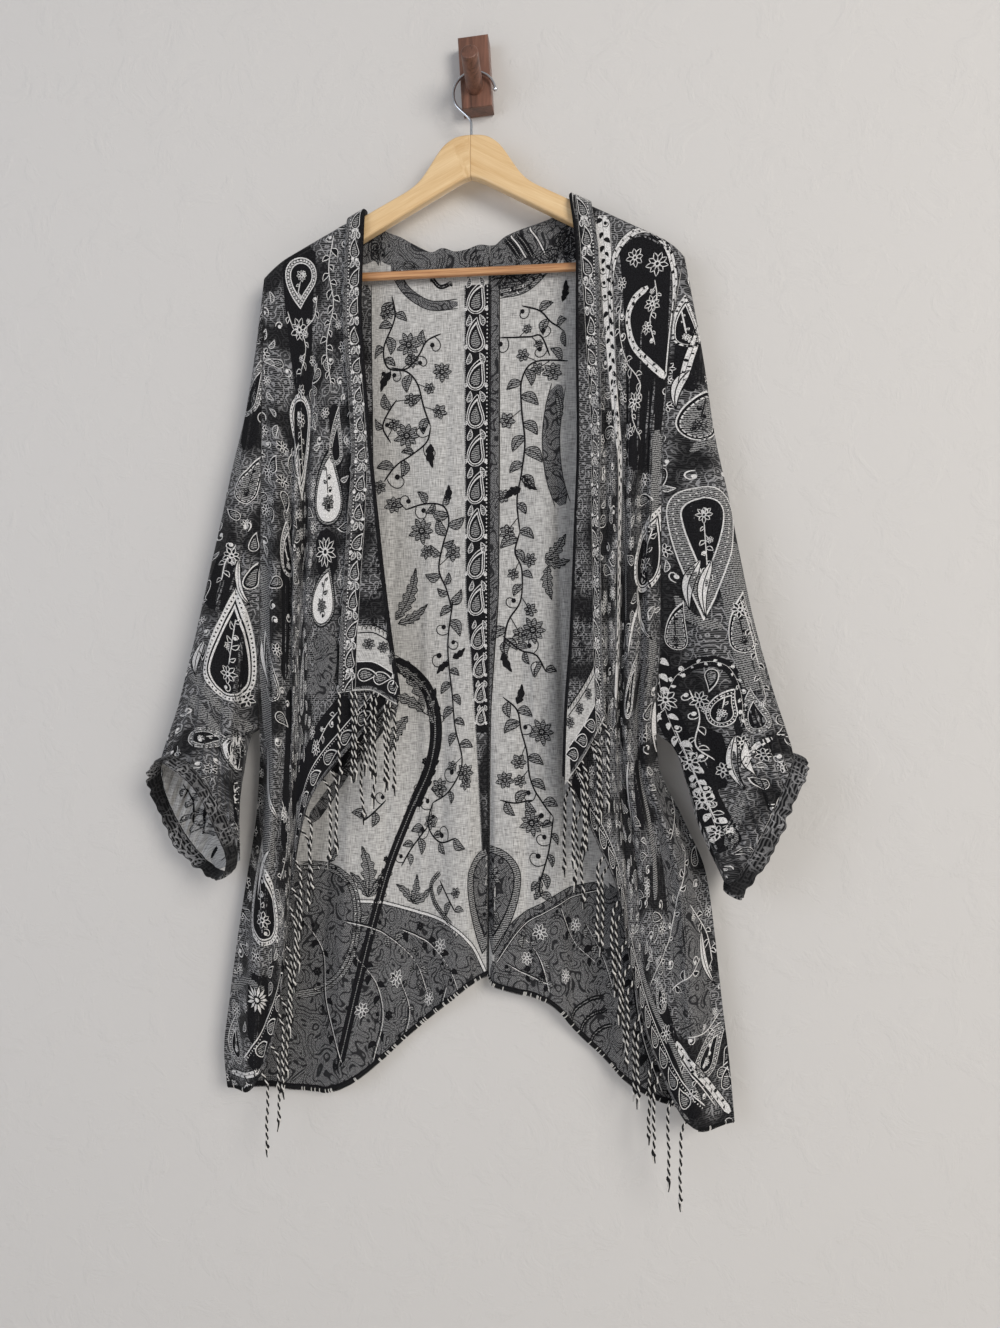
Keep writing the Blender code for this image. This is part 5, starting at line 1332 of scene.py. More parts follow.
# Fronts: the other ends of the shawls, cut on the slant, their front edges turned outward into lapels so that the
# pale inside shows there. Each hangs from the shoulder fold in deep upright folds.
TURN = 2.4
PANEL_COLUMNS = 84
TURN_COLUMNS = 7
LAPEL_COLUMNS = 22


def front_panel(side):
    """The front from its armhole and side edge to the front edge, as rows of points."""
    over, down = wrap_angles()
    share = np.linspace(0, 1, PANEL_COLUMNS)[None, :]
    top_x = side.tip + (side.neck - side.tip) * share
    top = arm_drop(top_x) - LIFT + slumped(top_x, side.tip)
    hem_x = through(side.front_hem, "share", "x", share)
    hem = through(side.front_hem, "share", "drop", share)
    drop = top + WRAP * (1 - np.cos(over)) + (hem - top - WRAP) * down
    part = (drop - top) / (hem - top)
    x = top_x + (hem_x - top_x) * part
    ends = []
    for column, table in ((0, side.side_line), (-1, side.edge_line)):
        between = [top_x[0, column], hem_x[0, column]]
        straight = np.interp(drop, [top[0, column], hem[0, column]], between)
        ends.append(through(table, "drop", "x", np.minimum(drop, hem[0, column])) - straight)
    x = x + ends[0] * (1 - share) ** 2 + ends[1] * share ** 2
    middle = HANGER_Y - WRAP - through(FRONT_DEPTH, "drop", "forward", drop)
    push = folded(side.folds, share, down) - rippled(x, drop, 3.0 + side.toward)
    middle = middle - push * ease((drop - 235) / 90) * ease((1 - share) / 0.2)
    outer = through(EDGES, "drop", "front", drop)
    y = outer + (middle - outer) * ease(share / 0.2)
    y = np.where(over < 1.57, HANGER_Y - WRAP * np.sin(over), y)
    y[0] -= SEAM / 2
    return np.stack(np.broadcast_arrays(x, y, -drop), axis=-1)


def with_lapel(side, panel):
    """The front with its edge turned outward as a lapel that lies over it."""
    over, down = wrap_angles()
    edge = panel[:, -1]
    out = np.stack([0 * over, -np.sin(over), np.cos(over)], axis=-1)[:, 0]
    width = through(side.lapel, "drop", "width", -edge[:, 2])
    top = -edge[:, 2]
    columns = [panel]
    across = np.array([-side.toward, 0, 0])
    for angle in np.linspace(0, math.pi, TURN_COLUMNS + 2)[1:-1]:
        turned = across * TURN * math.sin(angle) + out * TURN * (1 - math.cos(angle))
        columns.append((edge + turned)[:, None])
    for part in np.linspace(0, 1, LAPEL_COLUMNS):
        end = through(side.lapel_end, "share", "drop", part)
        scale = (end - top[0]) / (top[-1] - top[0])
        loose = 1.1 * np.sin(top / 37 + 2.0 * part + side.toward) + 0.8 * np.sin(top / 17 + 4.0 * part)
        proud = 2 * TURN + part * ease(down[:, 0] / 0.5) * (2.0 + loose)
        point = edge + out * proud[:, None]
        point[:, 0] += side.toward * width * part
        slope = ARM_SLOPE * width * part * (1 - ease(down[:, 0] / 0.2))
        point[:, 2] = -(top[0] + (top - top[0]) * scale) - slope + out[:, 2] * 2 * TURN
        columns.append(point[:, None])
    return np.concatenate(columns, axis=1)


fronts, front_normals, front_pieces = {}, {}, {}
for side in (LEFT, RIGHT):
    grid = with_lapel(side, front_panel(side))
    whole = unit(np.cross(np.gradient(grid, axis=1), np.gradient(grid, axis=0)))
    normals = whole * np.sign(np.sum(whole[:, :PANEL_COLUMNS] * OUTWARD_FRONT))
    normals[0, :PANEL_COLUMNS] = np.array([0, 0, 1.0])
    fronts[side.name], front_normals[side.name] = grid, normals
    piece = shell("front_" + side.name + "_cloth", grid, normals, flat_places(grid, side.toward), FACES)
    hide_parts("front_" + side.name)
    front_pieces[side.name] = piece

# Woven figures of the fronts: large paisley drops, flower sprays and hatched bands in white on the black face, with
# small filling figures between them. The lapels show the pale face with its selvage: a grey stripe, a dotted line
# and a black band of small drops; at their ends lie a key band, a pale block and a border of drops.
Large = namedtuple("Large", "place radius length lean bend style")
Flame = namedtuple("Flame", "foot tip width")
FRONT_LARGE = {
    "left": [
        Large((302, 276), 20, 36, 200, -0.2, "spotted"), Large((301, 420), 28, 84, 182, 0.06, "ringed"),
        Large((297, 470), 9, 30, 5, 0.2, "small"), Large((328, 503), 25, 62, -8, 0.15, "pale"),
        Large((336, 455), 11, 52, -5, 0.1, "hatched"), Large((322, 606), 23, 46, 10, 0.1, "pale"),
        Large((263, 920), 28, 84, 2, 0.0, "ringed"), Large((272, 690), 12, 64, 0, 0.05, "lined"),
        Large((302, 702), 14, 58, 5, 0.2, "hatched"), Large((238, 1048), 15, 34, 0, 0.1, "hatched"),
        Large((288, 566), 12, 50, 0, 0.25, "spotted"),
    ],
    "right": [
        Large((645, 566), 27, 62, 4, 0.05, "ringed"),
        Large((628, 705), 14, 54, 6, 0.2, "spotted"), Large((706, 1062), 16, 44, 20, 0.2, "hatched"),
        Large((662, 1004), 10, 30, -30, 0.2, "hatched"),
    ],
}
# Where the ground is left plain black; the strip down the left front's deep fold, from (291, 690) to (284, 850), is
# painted shade
FRONT_DARK = {
    "left": [
        Arc([(302, 246), (301, 320), (303, 396)], 40, BLACK), Arc([(334, 405), (338, 470)], 18, BLACK),
        Arc([(258, 975), (262, 1048)], 36, BLACK),
        Arc([(324, 530), (328, 578)], 34, BLACK), Arc([(284, 560), (286, 620), (284, 680)], 14, BLACK),
        Arc([(352, 704), (330, 730), (306, 768), (292, 806)], 40, BLACK),
        # painted shade: a black strip down the deep fold of the left front
        Arc([(291, 690), (288, 760), (284, 850)], 22, BLACK),
    ],
    "right": [
        Arc([(643, 236), (645, 300), (643, 380), (638, 470)], 58, BLACK), Arc([(656, 1000), (676, 1070)], 36, BLACK),
        Arc([(636, 760), (640, 830)], 22, BLACK),
    ],
}
FRONT_TRAILS = {
    "left": [
        Arc([(262, 565), (266, 640), (268, 720), (268, 800), (266, 870)], 22, HATCH),
        Arc([(322, 630), (324, 662), (316, 696)], 42, TWILL), Arc([(230, 990), (248, 980), (264, 988)], 8, HATCH),
        Arc([(232, 1072), (248, 1075), (262, 1066)], 7, WHITE),
    ],
    "right": [
        Arc([
            (612, 330), (611, 290), (615, 256), (629, 236), (648, 233), (665, 245), (674, 270), (675, 300), (671, 335),
            (667, 376),
        ], 8, WHITE),
        Arc([(648, 287), (634, 300), (628, 320), (633, 345), (648, 362), (665, 378)], 9, WHITE),
        Arc(
            [(602, 216), (606, 270), (610, 330), (615, 400), (620, 470), (619, 560), (618, 640), (616, 700)],
            19, WHITE,
        ),
        Arc([(657, 430), (654, 490), (652, 530)], 12, HATCH), Arc([(622, 490), (626, 560), (626, 620)], 8, HATCH),
        Arc([(640, 960), (655, 1010), (675, 1050), (700, 1105)], 8, HATCH),
        Arc([(676, 1042), (692, 1066), (712, 1090), (730, 1112)], 9, WHITE),
        Arc([(640, 760), (648, 820), (655, 900)], 9, HATCH), Arc([(651, 636), (645, 680), (636, 730)], 20, HATCH),
        Arc([(668, 770), (674, 840), (684, 920), (694, 1000), (702, 1036)], 44, TWILL),
    ],
}
FRONT_FLAMES = {
    "left": [Flame((268, 742), (280, 826), 9), Flame((262, 640), (270, 690), 6), Flame((270, 850), (258, 900), 7)],
    "right": [
        Flame((636, 585), (652, 640), 9), Flame((640, 600), (628, 660), 7), Flame((700, 930), (715, 985), 8),
        Flame((628, 760), (634, 830), 7), Flame((655, 700), (660, 760), 7),
    ],
}
FRONT_BLOOMS = {
    "left": [
        Bloom((300, 330), 13, 8), Bloom((325, 552), 16, 12), Bloom((257, 1000), 15, 14), Bloom((301, 392), 8, 7),
        Bloom((292, 640), 9, 8), Bloom((238, 1010), 8, 8), Bloom((285, 815), 9, 8), Bloom((316, 748), 9, 8),
    ],
    "right": [
        Bloom((635, 258), 10, 8), Bloom((657, 264), 12, 9), Bloom((652, 304), 9, 8), Bloom((647, 328), 7, 7),
        Bloom((622, 284), 7, 7), Bloom((635, 402), 11, 9), Bloom((628, 432), 9, 8), Bloom((624, 366), 7, 7),
        Bloom((667, 1033), 10, 8), Bloom((663, 1000), 8, 7), Bloom((690, 1095), 8, 8), Bloom((645, 480), 8, 8),
    ],
}
FRONT_VINES = {
    "left": [
        Vine([(318, 296), (314, 318), (304, 332), (306, 350), (301, 376)], 11, 9, 31),
        Vine([(334, 236), (329, 270), (334, 305), (327, 345), (331, 385)], 9, 11, 38),
        Vine([(288, 312), (293, 326), (300, 332)], 10, 8, 32), Vine([(282, 800), (288, 840), (280, 880)], 11, 9, 33),
        Vine([(338, 712), (327, 726), (318, 744)], 10, 8, 39),
    ],
    "right": [
        Vine([(621, 300), (620, 330), (626, 360), (640, 385), (632, 415), (640, 440)], 12, 9, 34),
        Vine([(655, 280), (657, 300), (650, 320), (655, 345)], 10, 7, 35),
        Vine([(690, 905), (705, 930), (712, 960)], 11, 9, 36),
        Vine([(650, 985), (668, 942), (680, 890), (684, 850)], 13, 9, 40),
        Vine([(672, 990), (690, 976), (700, 956)], 12, 10, 41),
        Vine([(688, 1036), (706, 1030), (720, 1012)], 11, 9, 42),
        Vine([(668, 780), (674, 812), (670, 840)], 12, 9, 43), Vine([(680, 1060), (695, 1080), (715, 1105)], 11, 8, 37),
    ],
}


def figured(ground, large, dark, trails, flames, blooms, vines):
    """The figures of a black face, from their tables, and the round places they take."""
    strips, taken = [], []
    for row in dark:
        path = smoothed(flat_at(ground, row.path), 30)
        strips += ribbon(path, row.width, row.yarn, -0.4)
        taken += [(spot, row.width * 0.3) for spot in path[::4]]
    for seed, row in enumerate(large):
        place = flat_at(ground, row.place)[0]
        drop = Drop(place, row.radius, row.length, row.lean, row.bend)
        strips += paisley(drop, row.style, seed)
        up = upward(row.lean)
        for part, wide in ((0, 1), (0.4, 0.8), (0.7, 0.5)):
            taken.append((place + up * part * row.length, row.radius * wide))
    for row in trails:
        path = smoothed(flat_at(ground, row.path), 60)
        strips += ribbon(path, row.width, row.yarn, 0.6)
        across = square_to(path)
        if row.yarn == WHITE:
            for edge in (-0.46, 0.46):
                strips += ribbon(path + across * edge * row.width, 0.8, BLACK, 2.2)
        if row.yarn in (WHITE, BLACK):
            leaves = BLACK if row.yarn == WHITE else WHITE
            strips += vine(path[::6], 7.0, row.width * 0.42, leaves, leaves, len(taken), 0.35)
        taken += [(spot, row.width / 2) for spot in path[::4]]
    for row in flames:
        foot, tip = flat_at(ground, [row.foot, row.tip])
        strips += leaf(foot, tip, row.width, WHITE, BLACK, 0.1, 2)
    for row in blooms:
        place = flat_at(ground, row.place)[0]
        fill = WHITE if row.petals > 12 else BLACK
        strips += flower(place, row.radius, row.petals, fill, BLACK if fill == WHITE else WHITE, row.radius, 2)
        taken.append((place, row.radius))
    for row in vines:
        path = flat_at(ground, row.path)
        strips += vine(path, row.spacing, row.reach, BLACK, WHITE, row.seed)
        taken += [(spot, row.reach) for spot in path]
    return strips, taken


def sprinkled(ground, spacing, taken, seed):
    """Small filling figures where the large ones leave room."""
    rng = np.random.default_rng(seed)
    strips = []
    low, high = ground.flat.reshape(-1, 2).min(axis=0), ground.flat.reshape(-1, 2).max(axis=0)
    for s in np.arange(low[0], high[0], spacing):
        for t in np.arange(low[1], high[1], spacing):
            spot = np.array([s, t]) + rng.uniform(-0.35, 0.35, 2) * spacing
            kind, turn, size = rng.uniform(), rng.uniform(0, 2 * math.pi), spacing * rng.uniform(0.3, 0.45)
            if any(np.linalg.norm(spot - place) < radius + 0.4 * spacing for place, radius in taken):
                continue
            if kind < 0.25:
                strips += flower(spot, size, 7, BLACK, WHITE, turn)
            elif kind < 0.5:
                strips += curl(spot, size * 0.9, turn, 1 if kind < 0.37 else -1, WHITE, 1.2)
            elif kind < 0.75:
                strips += paisley(Drop(spot, size * 0.8, size * 2.2, math.degrees(turn), 0.25), "small")
            else:
                lead = np.array([math.cos(turn), math.sin(turn)]) * size
                strips += leaf(spot - lead, spot + lead, size * 0.8, HATCH, WHITE, 0.15)
    return strips


KEY = [(0, 0), (0, -1), (1, -1), (1, -0.35), (0.55, -0.35), (0.55, -0.65)]  # one step of a Greek key
KEY_SIZE = 4.6
FILL_SPACING = 18.0  # from one small filling figure to the next
LAPEL_TOP = 140
LAPEL_LOW = 760
LAPEL_UNDER = 8  # how many columns of the panel the lapel's face takes in
LAPEL_BAND = 11.4  # from the lapel's edge to the middle of its band of drops
BORDER_MIDDLE = 13  # from a front's slanting end to the middle of its border
BORDER_WIDTH = 21
ON_BORDER = 3.4  # the level of what is drawn on the border


def end_border(ground):
    """The border of drops along a front's slanting end, and the round places it takes."""
    hem = smoothed(ground.flat[-1, round(0.2 * PANEL_COLUMNS)::8], 120)
    lead = np.gradient(hem, axis=0)
    inward = square_to(hem)
    inward = inward * np.sign(-inward[:, 1].sum())
    border = hem + inward * BORDER_MIDDLE
    strips = ribbon(border, BORDER_WIDTH, BLACK, 2.6) + ribbon(hem + inward * 24, 1.2, WHITE, ON_BORDER)
    strips += dots(hem + inward * 21, 4.0, 1.8, WHITE, ON_BORDER) + ribbon(hem + inward * 3, 3.0, TWILL, ON_BORDER)
    for k in range(5, 117, 7):
        lean = math.degrees(math.atan2(lead[k, 0], -lead[k, 1]))
        strips += lifted(paisley(Drop(border[k], 7.4, 18, lean, 0.24), "small"), 3.2)
    return strips, [(spot, 14) for spot in border[::3]]


def lapel_selvage(ground):
    """The selvage along a lapel: a grey stripe, a dotted line and a band of small drops between leaves."""
    strips = []
    t = np.arange(LAPEL_TOP, LAPEL_LOW, 3.0)[:, None]
    for near, far, yarn in ((0.2, 4.0, TWILL), (4.0, 15.5, SCROLL), (15.5, 18.0, BLACK)):
        s = np.linspace(near, far, 2 + int((far - near) / 2.5))[None, :]
        strips.append(Strip(np.stack(np.broadcast_arrays(s, t), axis=-1), yarn, 0))
    strips.append(Strip(ground.flat[:, :LAPEL_UNDER + 1 + TURN_COLUMNS], BLACK, 0.6))
    strips += dots(np.concatenate([np.full_like(t, 5.2), t], axis=1), 3.6, 1.8, WHITE, 1)
    for at in np.arange(LAPEL_TOP + 25, LAPEL_LOW, 31.0):
        drop = Drop((LAPEL_BAND, at), 5.2, 14 + 3 * math.sin(at), 12 * math.sin(2.3 * at), 0.25)
        strips += lifted(paisley(drop, "small"), 1)
        for offset in (-4.2, 4.2):
            beside, tip = LAPEL_BAND + offset, LAPEL_BAND + 0.3 * offset
            strips += leaf((beside, at - 15), (tip, at - 24), 4, HATCH, WHITE, 0.1, 1)
            strips += curl((beside, at + 6), 2.6, at, math.copysign(1, offset), WHITE, DRAWN, 1)
    return strips


def lapel_border(ground, seed):
    """The end of a lapel: a border of drops, a pale block of flowers and a key band, with tendrils above."""
    s = np.arange(18.5, 70, 2.5)
    end = np.interp(s, ground.flat[-1, ::-1, 0], ground.flat[-1, ::-1, 1])
    strips = []
    for low, high, yarn in ((2, 30, BLACK), (68, 640, SCROLL)):
        share = np.linspace(high, low, 3 + int((high - low) / 3))[None, :]
        strips.append(Strip(np.stack(np.broadcast_arrays(s[:, None], end[:, None] - share), axis=-1), yarn, 0.3))
    for above, width, yarn in ((3, 3, TWILL), (30, 1.2, WHITE), (68, 1.4, BLACK), (60, 1.2, BLACK)):
        strips += ribbon(np.stack([s, end - above], axis=1), width, yarn, 1.4)
    for place in np.arange(27, 66, 17):
        spot = np.array([place, np.interp(place, s, end) - 16])
        strips += lifted(paisley(Drop(spot, 7, 15, 80, 0.22), "small"), 1.2)
        strips += flower(spot - (-4, 32), 7, 7, HATCH, BLACK, 0.3, 1)
    for step in np.arange(23, 64, 5.0):
        high = np.interp(step, s, end) - 62
        strips += ribbon([(step + KEY_SIZE * x, high + KEY_SIZE * y) for x, y in KEY], DRAWN, BLACK, 1.4)
    rng = np.random.default_rng(seed)
    for place, up in zip(rng.uniform(25, 62, 30), rng.uniform(76, 184, 30)):
        strips += curl((place, np.interp(place, s, end) - up), rng.uniform(3, 6), up, 1, BLACK, 1.3)
    return strips


front_figures, lapel_figures = {}, {}
for side in (LEFT, RIGHT):
    name, grid, normals = side.name, fronts[side.name], front_normals[side.name]
    flat = flat_places(grid, side.toward)
    ground = ground_of(*[array[:, :PANEL_COLUMNS] for array in (grid, normals, flat)])
    tables = (FRONT_LARGE, FRONT_DARK, FRONT_TRAILS, FRONT_FLAMES, FRONT_BLOOMS, FRONT_VINES)
    strips, taken = figured(ground, *[table[name] for table in tables])
    border, border_taken = end_border(ground)
    strips += border + sprinkled(ground, FILL_SPACING, taken + border_taken, 41 + side.toward)
    front_figures[name] = woven("front_" + name + "_figures", ground, strips)
    start = PANEL_COLUMNS - LAPEL_UNDER
    face, facing = grid[:, start:], -normals[:, start:]
    run = row_runs(face)
    ground = ground_of(face, facing, np.stack([run[:, -1:] - run, -face[..., 2]], axis=-1))
    strips = lapel_selvage(ground) + lapel_border(ground, 51 + side.toward)
    lapel_figures[name] = woven("lapel_" + name + "_figures", ground, strips)

# Sleeves: wide, straight three-quarter sleeves of the same cloth, sewn to the panels' edges down to the underarm.
# They hang in slanting folds, and draw in towards the cuff in small uneven gathers.
SLEEVE_RINGS = 104
UNDERARM_SHARE = 0.95
GATHERS = 23


def sleeve_rings(side, front, back):
    """The sleeve's rings, from the armhole's own edge points to the cuff."""
    last = int(np.argmax(-front[:, 0, 2] > side.underarm))
    kept = np.arange(0, last, 2)
    arm_front, arm_back = front[kept, 0], back[kept[1:], -1][::-1]
    drops = -arm_front[:, 2]
    share = UNDERARM_SHARE * (drops - drops[0]) / (drops[-1] - drops[0])
    back_share = np.interp(-arm_back[:, 2], drops, share)
    share = np.concatenate([share, back_share])[:, None]
    first = np.concatenate([arm_front, arm_back])
    first = first + np.array([side.toward, 0, 0]) * (2 * SEAM + 0.8 * (share / UNDERARM_SHARE) ** 6)
    face = np.concatenate([np.ones(len(arm_front)), -np.ones(len(arm_back))])[:, None]
    parts = np.linspace(0, 1, SLEEVE_RINGS) ** 1.1
    rings = []
    for part in parts:
        ends = []
        for table in (side.sleeve_outer, side.sleeve_inner, side.sleeve_depth):
            ends.append(np.array([through(table, "part", column, part) for column in ("x", "y", "drop")]))
        outer, inner, depth = ends
        oval = outer + (inner - outer) * share + face * depth * 2 * np.sqrt(share * (1 - share))
        rings.append(oval * np.array([1, 1, -1]))
    parts = parts[:, None, None]
    rings = np.stack(rings)
    return rings + (first - rings[0]) * (1 - ease(parts / 0.3)), parts


def sleeve_flat(grid):
    """Where each point of a sleeve lies flat: each ring laid straight from the top fold, front and back alike."""
    columns = grid.shape[1]
    middle = columns // 2
    steps = np.linalg.norm(np.roll(grid, -1, axis=1) - grid, axis=2)
    run = np.concatenate([np.zeros((len(grid), 1)), np.cumsum(steps, axis=1)], axis=1)
    back = (run[:, -1:] - run) * run[:, middle:middle + 1] / (run[:, -1:] - run[:, middle:middle + 1])
    down = np.where(np.arange(columns + 1) <= middle, run, back)[..., None]
    top, low = grid[:, 0], grid[:, middle]
    lead = unit((low - top)[:, [0, 2]])
    return (top[:, None, [0, 2]] + lead[:, None] * down) * np.array([1, -1])


sleeves, sleeve_normals, sleeve_flats, sleeve_pieces = {}, {}, {}, {}
for side in (LEFT, RIGHT):
    grid, parts = sleeve_rings(side, fronts[side.name], backs[side.name])
    middles = grid.mean(axis=1, keepdims=True)
    normals = normals_of(grid, grid - middles, closed=True)
    columns = grid.shape[1]
    around = (np.arange(columns) / columns)[None, :]
    down = parts[:, :, 0]
    push = folded(side.sleeve_folds, around, down) * ease(down / 0.15) * (1 - ease((down - 0.86) / 0.14))
    gather = np.sin(2 * math.pi * GATHERS * around + 1.7 * np.sin(2 * math.pi * 3 * around))
    gather = gather + 0.5 * np.sin(2 * math.pi * 41 * around + side.toward)
    push = push + 1.7 * gather * ease((down - 0.7) / 0.28)
    push = push + rippled(grid[..., 0] * 1.3, -grid[..., 2], 5.0 + side.toward) * ease(down / 0.2)
    grid = grid + normals * push[..., None]
    normals = normals_of(grid, grid - middles, closed=True)
    sleeves[side.name], sleeve_normals[side.name] = grid, normals
    flat = sleeve_flat(grid)
    sleeve_flats[side.name] = flat
    piece = shell("sleeve_" + side.name + "_cloth", grid, normals, flat, FACES, closed=True)
    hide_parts(*[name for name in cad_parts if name.startswith("sleeve_" + side.name)])
    sleeve_pieces[side.name] = piece

# Woven figures of the sleeves: the same drops, hatched arches and flower bands, with black trails of painted shade
# along the sleeves' undersides. The backs of the sleeves, which the photo doesn't show, repeat their fronts.
SLEEVE_LARGE = {
    "left": [
        Large((228, 674), 29, 98, 8, -0.05, "ringed"), Large((238, 752), 25, 24, 0, 0, "pale"),
        Large((250, 405), 12, 60, 18, 0.1, "hatched"), Large((251, 582), 8, 24, 10, 0.3, "small"),
        Large((246, 492), 13, 46, 20, 0.2, "lined"), Large((202, 738), 13, 34, 50, 0.2, "hatched"),
        Large((262, 335), 10, 42, 10, 0.1, "lined"),
    ],
    "right": [
        Large((704, 515), 29, 108, 178, 0.05, "hatched"), Large((722, 713), 14, 26, 10, 0.3, "dotted"),
        Large((700, 425), 16, 50, 10, 0.25, "lined"), Large((744, 640), 13, 50, -10, 0.2, "lined"),
        Large((758, 722), 12, 36, -20, 0.2, "hatched"), Large((688, 338), 10, 44, -10, 0.1, "ringed"),
        Large((676, 640), 10, 40, 0, 0.2, "lined"),
    ],
}
SLEEVE_DARK = {
    "left": [
        Arc([(232, 555), (214, 610)], 34, BLACK), Arc([(256, 385), (246, 450)], 20, BLACK),
        Arc([(226, 640), (226, 690)], 40, BLACK),
    ],
    "right": [
        Arc([(700, 730), (716, 790)], 36, BLACK), Arc([(694, 335), (688, 390)], 22, BLACK),
        Arc([(704, 500), (700, 570)], 34, BLACK),
    ],
}
SLEEVE_TRAILS = {
    "left": [
        Arc([(262, 292), (255, 340), (246, 395)], 8, HATCH),
        Arc([(190, 676), (215, 702), (240, 724), (256, 735)], 9, HATCH),
        # The black trail from (246, 780) to (242, 850) is painted shade on the sleeve's lower side above the cuff.
        Arc([(190, 696), (206, 716), (222, 738)], 12, HATCH), Arc([(246, 780), (248, 806), (242, 850)], 36, BLACK),
        Arc([(240, 425), (236, 455), (240, 480)], 9, HATCH),
    ],
    "right": [
        Arc([(664, 702), (680, 673), (705, 662), (730, 669), (742, 700), (738, 736)], 11, BLACK),
        # This black trail along the underarm is partly the sleeve's black ground and partly painted underarm shade.
        Arc([(657, 650), (664, 705), (690, 765), (712, 815), (728, 850)], 24, BLACK),
        Arc([(728, 540), (742, 610), (758, 690)], 30, HATCH), Arc([(676, 596), (692, 618), (722, 628)], 9, HATCH),
        Arc([(682, 384), (690, 355), (700, 328)], 7, WHITE), Arc([(742, 768), (754, 748), (772, 738)], 7, WHITE),
        Arc([(690, 452), (705, 442), (722, 452)], 8, HATCH), Arc([(745, 790), (735, 820), (730, 850)], 9, HATCH),
    ],
}
SLEEVE_FLAMES = {
    "left": [Flame((205, 640), (196, 676), 8), Flame((238, 560), (250, 606), 8)],
    "right": [
        Flame((688, 370), (676, 410), 8), Flame((700, 560), (690, 610), 10), Flame((712, 560), (706, 618), 9),
        Flame((735, 735), (745, 790), 9), Flame((745, 742), (756, 776), 7),
    ],
}
SLEEVE_BLOOMS = {
    "left": [Bloom((232, 556), 9, 8), Bloom((246, 700), 9, 8), Bloom((247, 800), 8, 7), Bloom((243, 830), 7, 7)],
    "right": [
        Bloom((666, 700), 11, 9), Bloom((690, 762), 10, 8), Bloom((703, 800), 11, 9), Bloom((718, 832), 8, 8),
        Bloom((700, 700), 9, 8), Bloom((740, 610), 8, 8), Bloom((724, 770), 8, 7),
    ],
}
SLEEVE_VINES = {
    "left": [Vine([(236, 545), (226, 562), (222, 580)], 9, 8, 61)],
    "right": [
        Vine([(690, 690), (700, 715), (696, 745), (715, 760)], 11, 9, 62),
        Vine([(740, 600), (752, 640), (766, 700)], 12, 9, 63), Vine([(676, 730), (700, 785), (716, 820)], 12, 8, 64),
    ],
}
# The vines on the pale inside that shows in the left cuff's mouth
MOUTH_VINES = [
    Vine([(184, 784), (192, 800), (194, 822)], 8, 11, 65), Vine([(212, 796), (205, 812), (203, 834)], 8, 11, 66),
]
sleeve_figures = {}
for side in (LEFT, RIGHT):
    grid, normals, flat = sleeves[side.name], sleeve_normals[side.name], sleeve_flats[side.name]
    middle = grid.shape[1] // 2
    ground = ground_of(grid[:, :middle + 1], normals[:, :middle + 1], flat[:, :middle + 1])
    tables = (SLEEVE_LARGE, SLEEVE_DARK, SLEEVE_TRAILS, SLEEVE_FLAMES, SLEEVE_BLOOMS, SLEEVE_VINES)
    strips, taken = figured(ground, *[table[side.name] for table in tables])
    strips += sprinkled(ground, FILL_SPACING, taken, 71 + side.toward)
    behind = [np.concatenate([array[:, middle:], array[:, :1]], axis=1) for array in (grid, normals)]
    reverse = ground_of(*behind, flat[:, middle:])
    sleeve_figures[side.name] = [
        woven("sleeve_" + side.name + "_front_figures", ground, strips),
        woven("sleeve_" + side.name + "_back_figures", reverse, strips),
    ]
    if side is LEFT:
        mouth = ground_of(behind[0], -behind[1], flat[:, middle:])
        strips = []
        for row in MOUTH_VINES:
            strips += vine(flat_at(mouth, row.path), row.spacing, row.reach, HATCH, BLACK, row.seed)
        sleeve_figures[side.name].append(woven("sleeve_left_mouth_figures", mouth, strips))

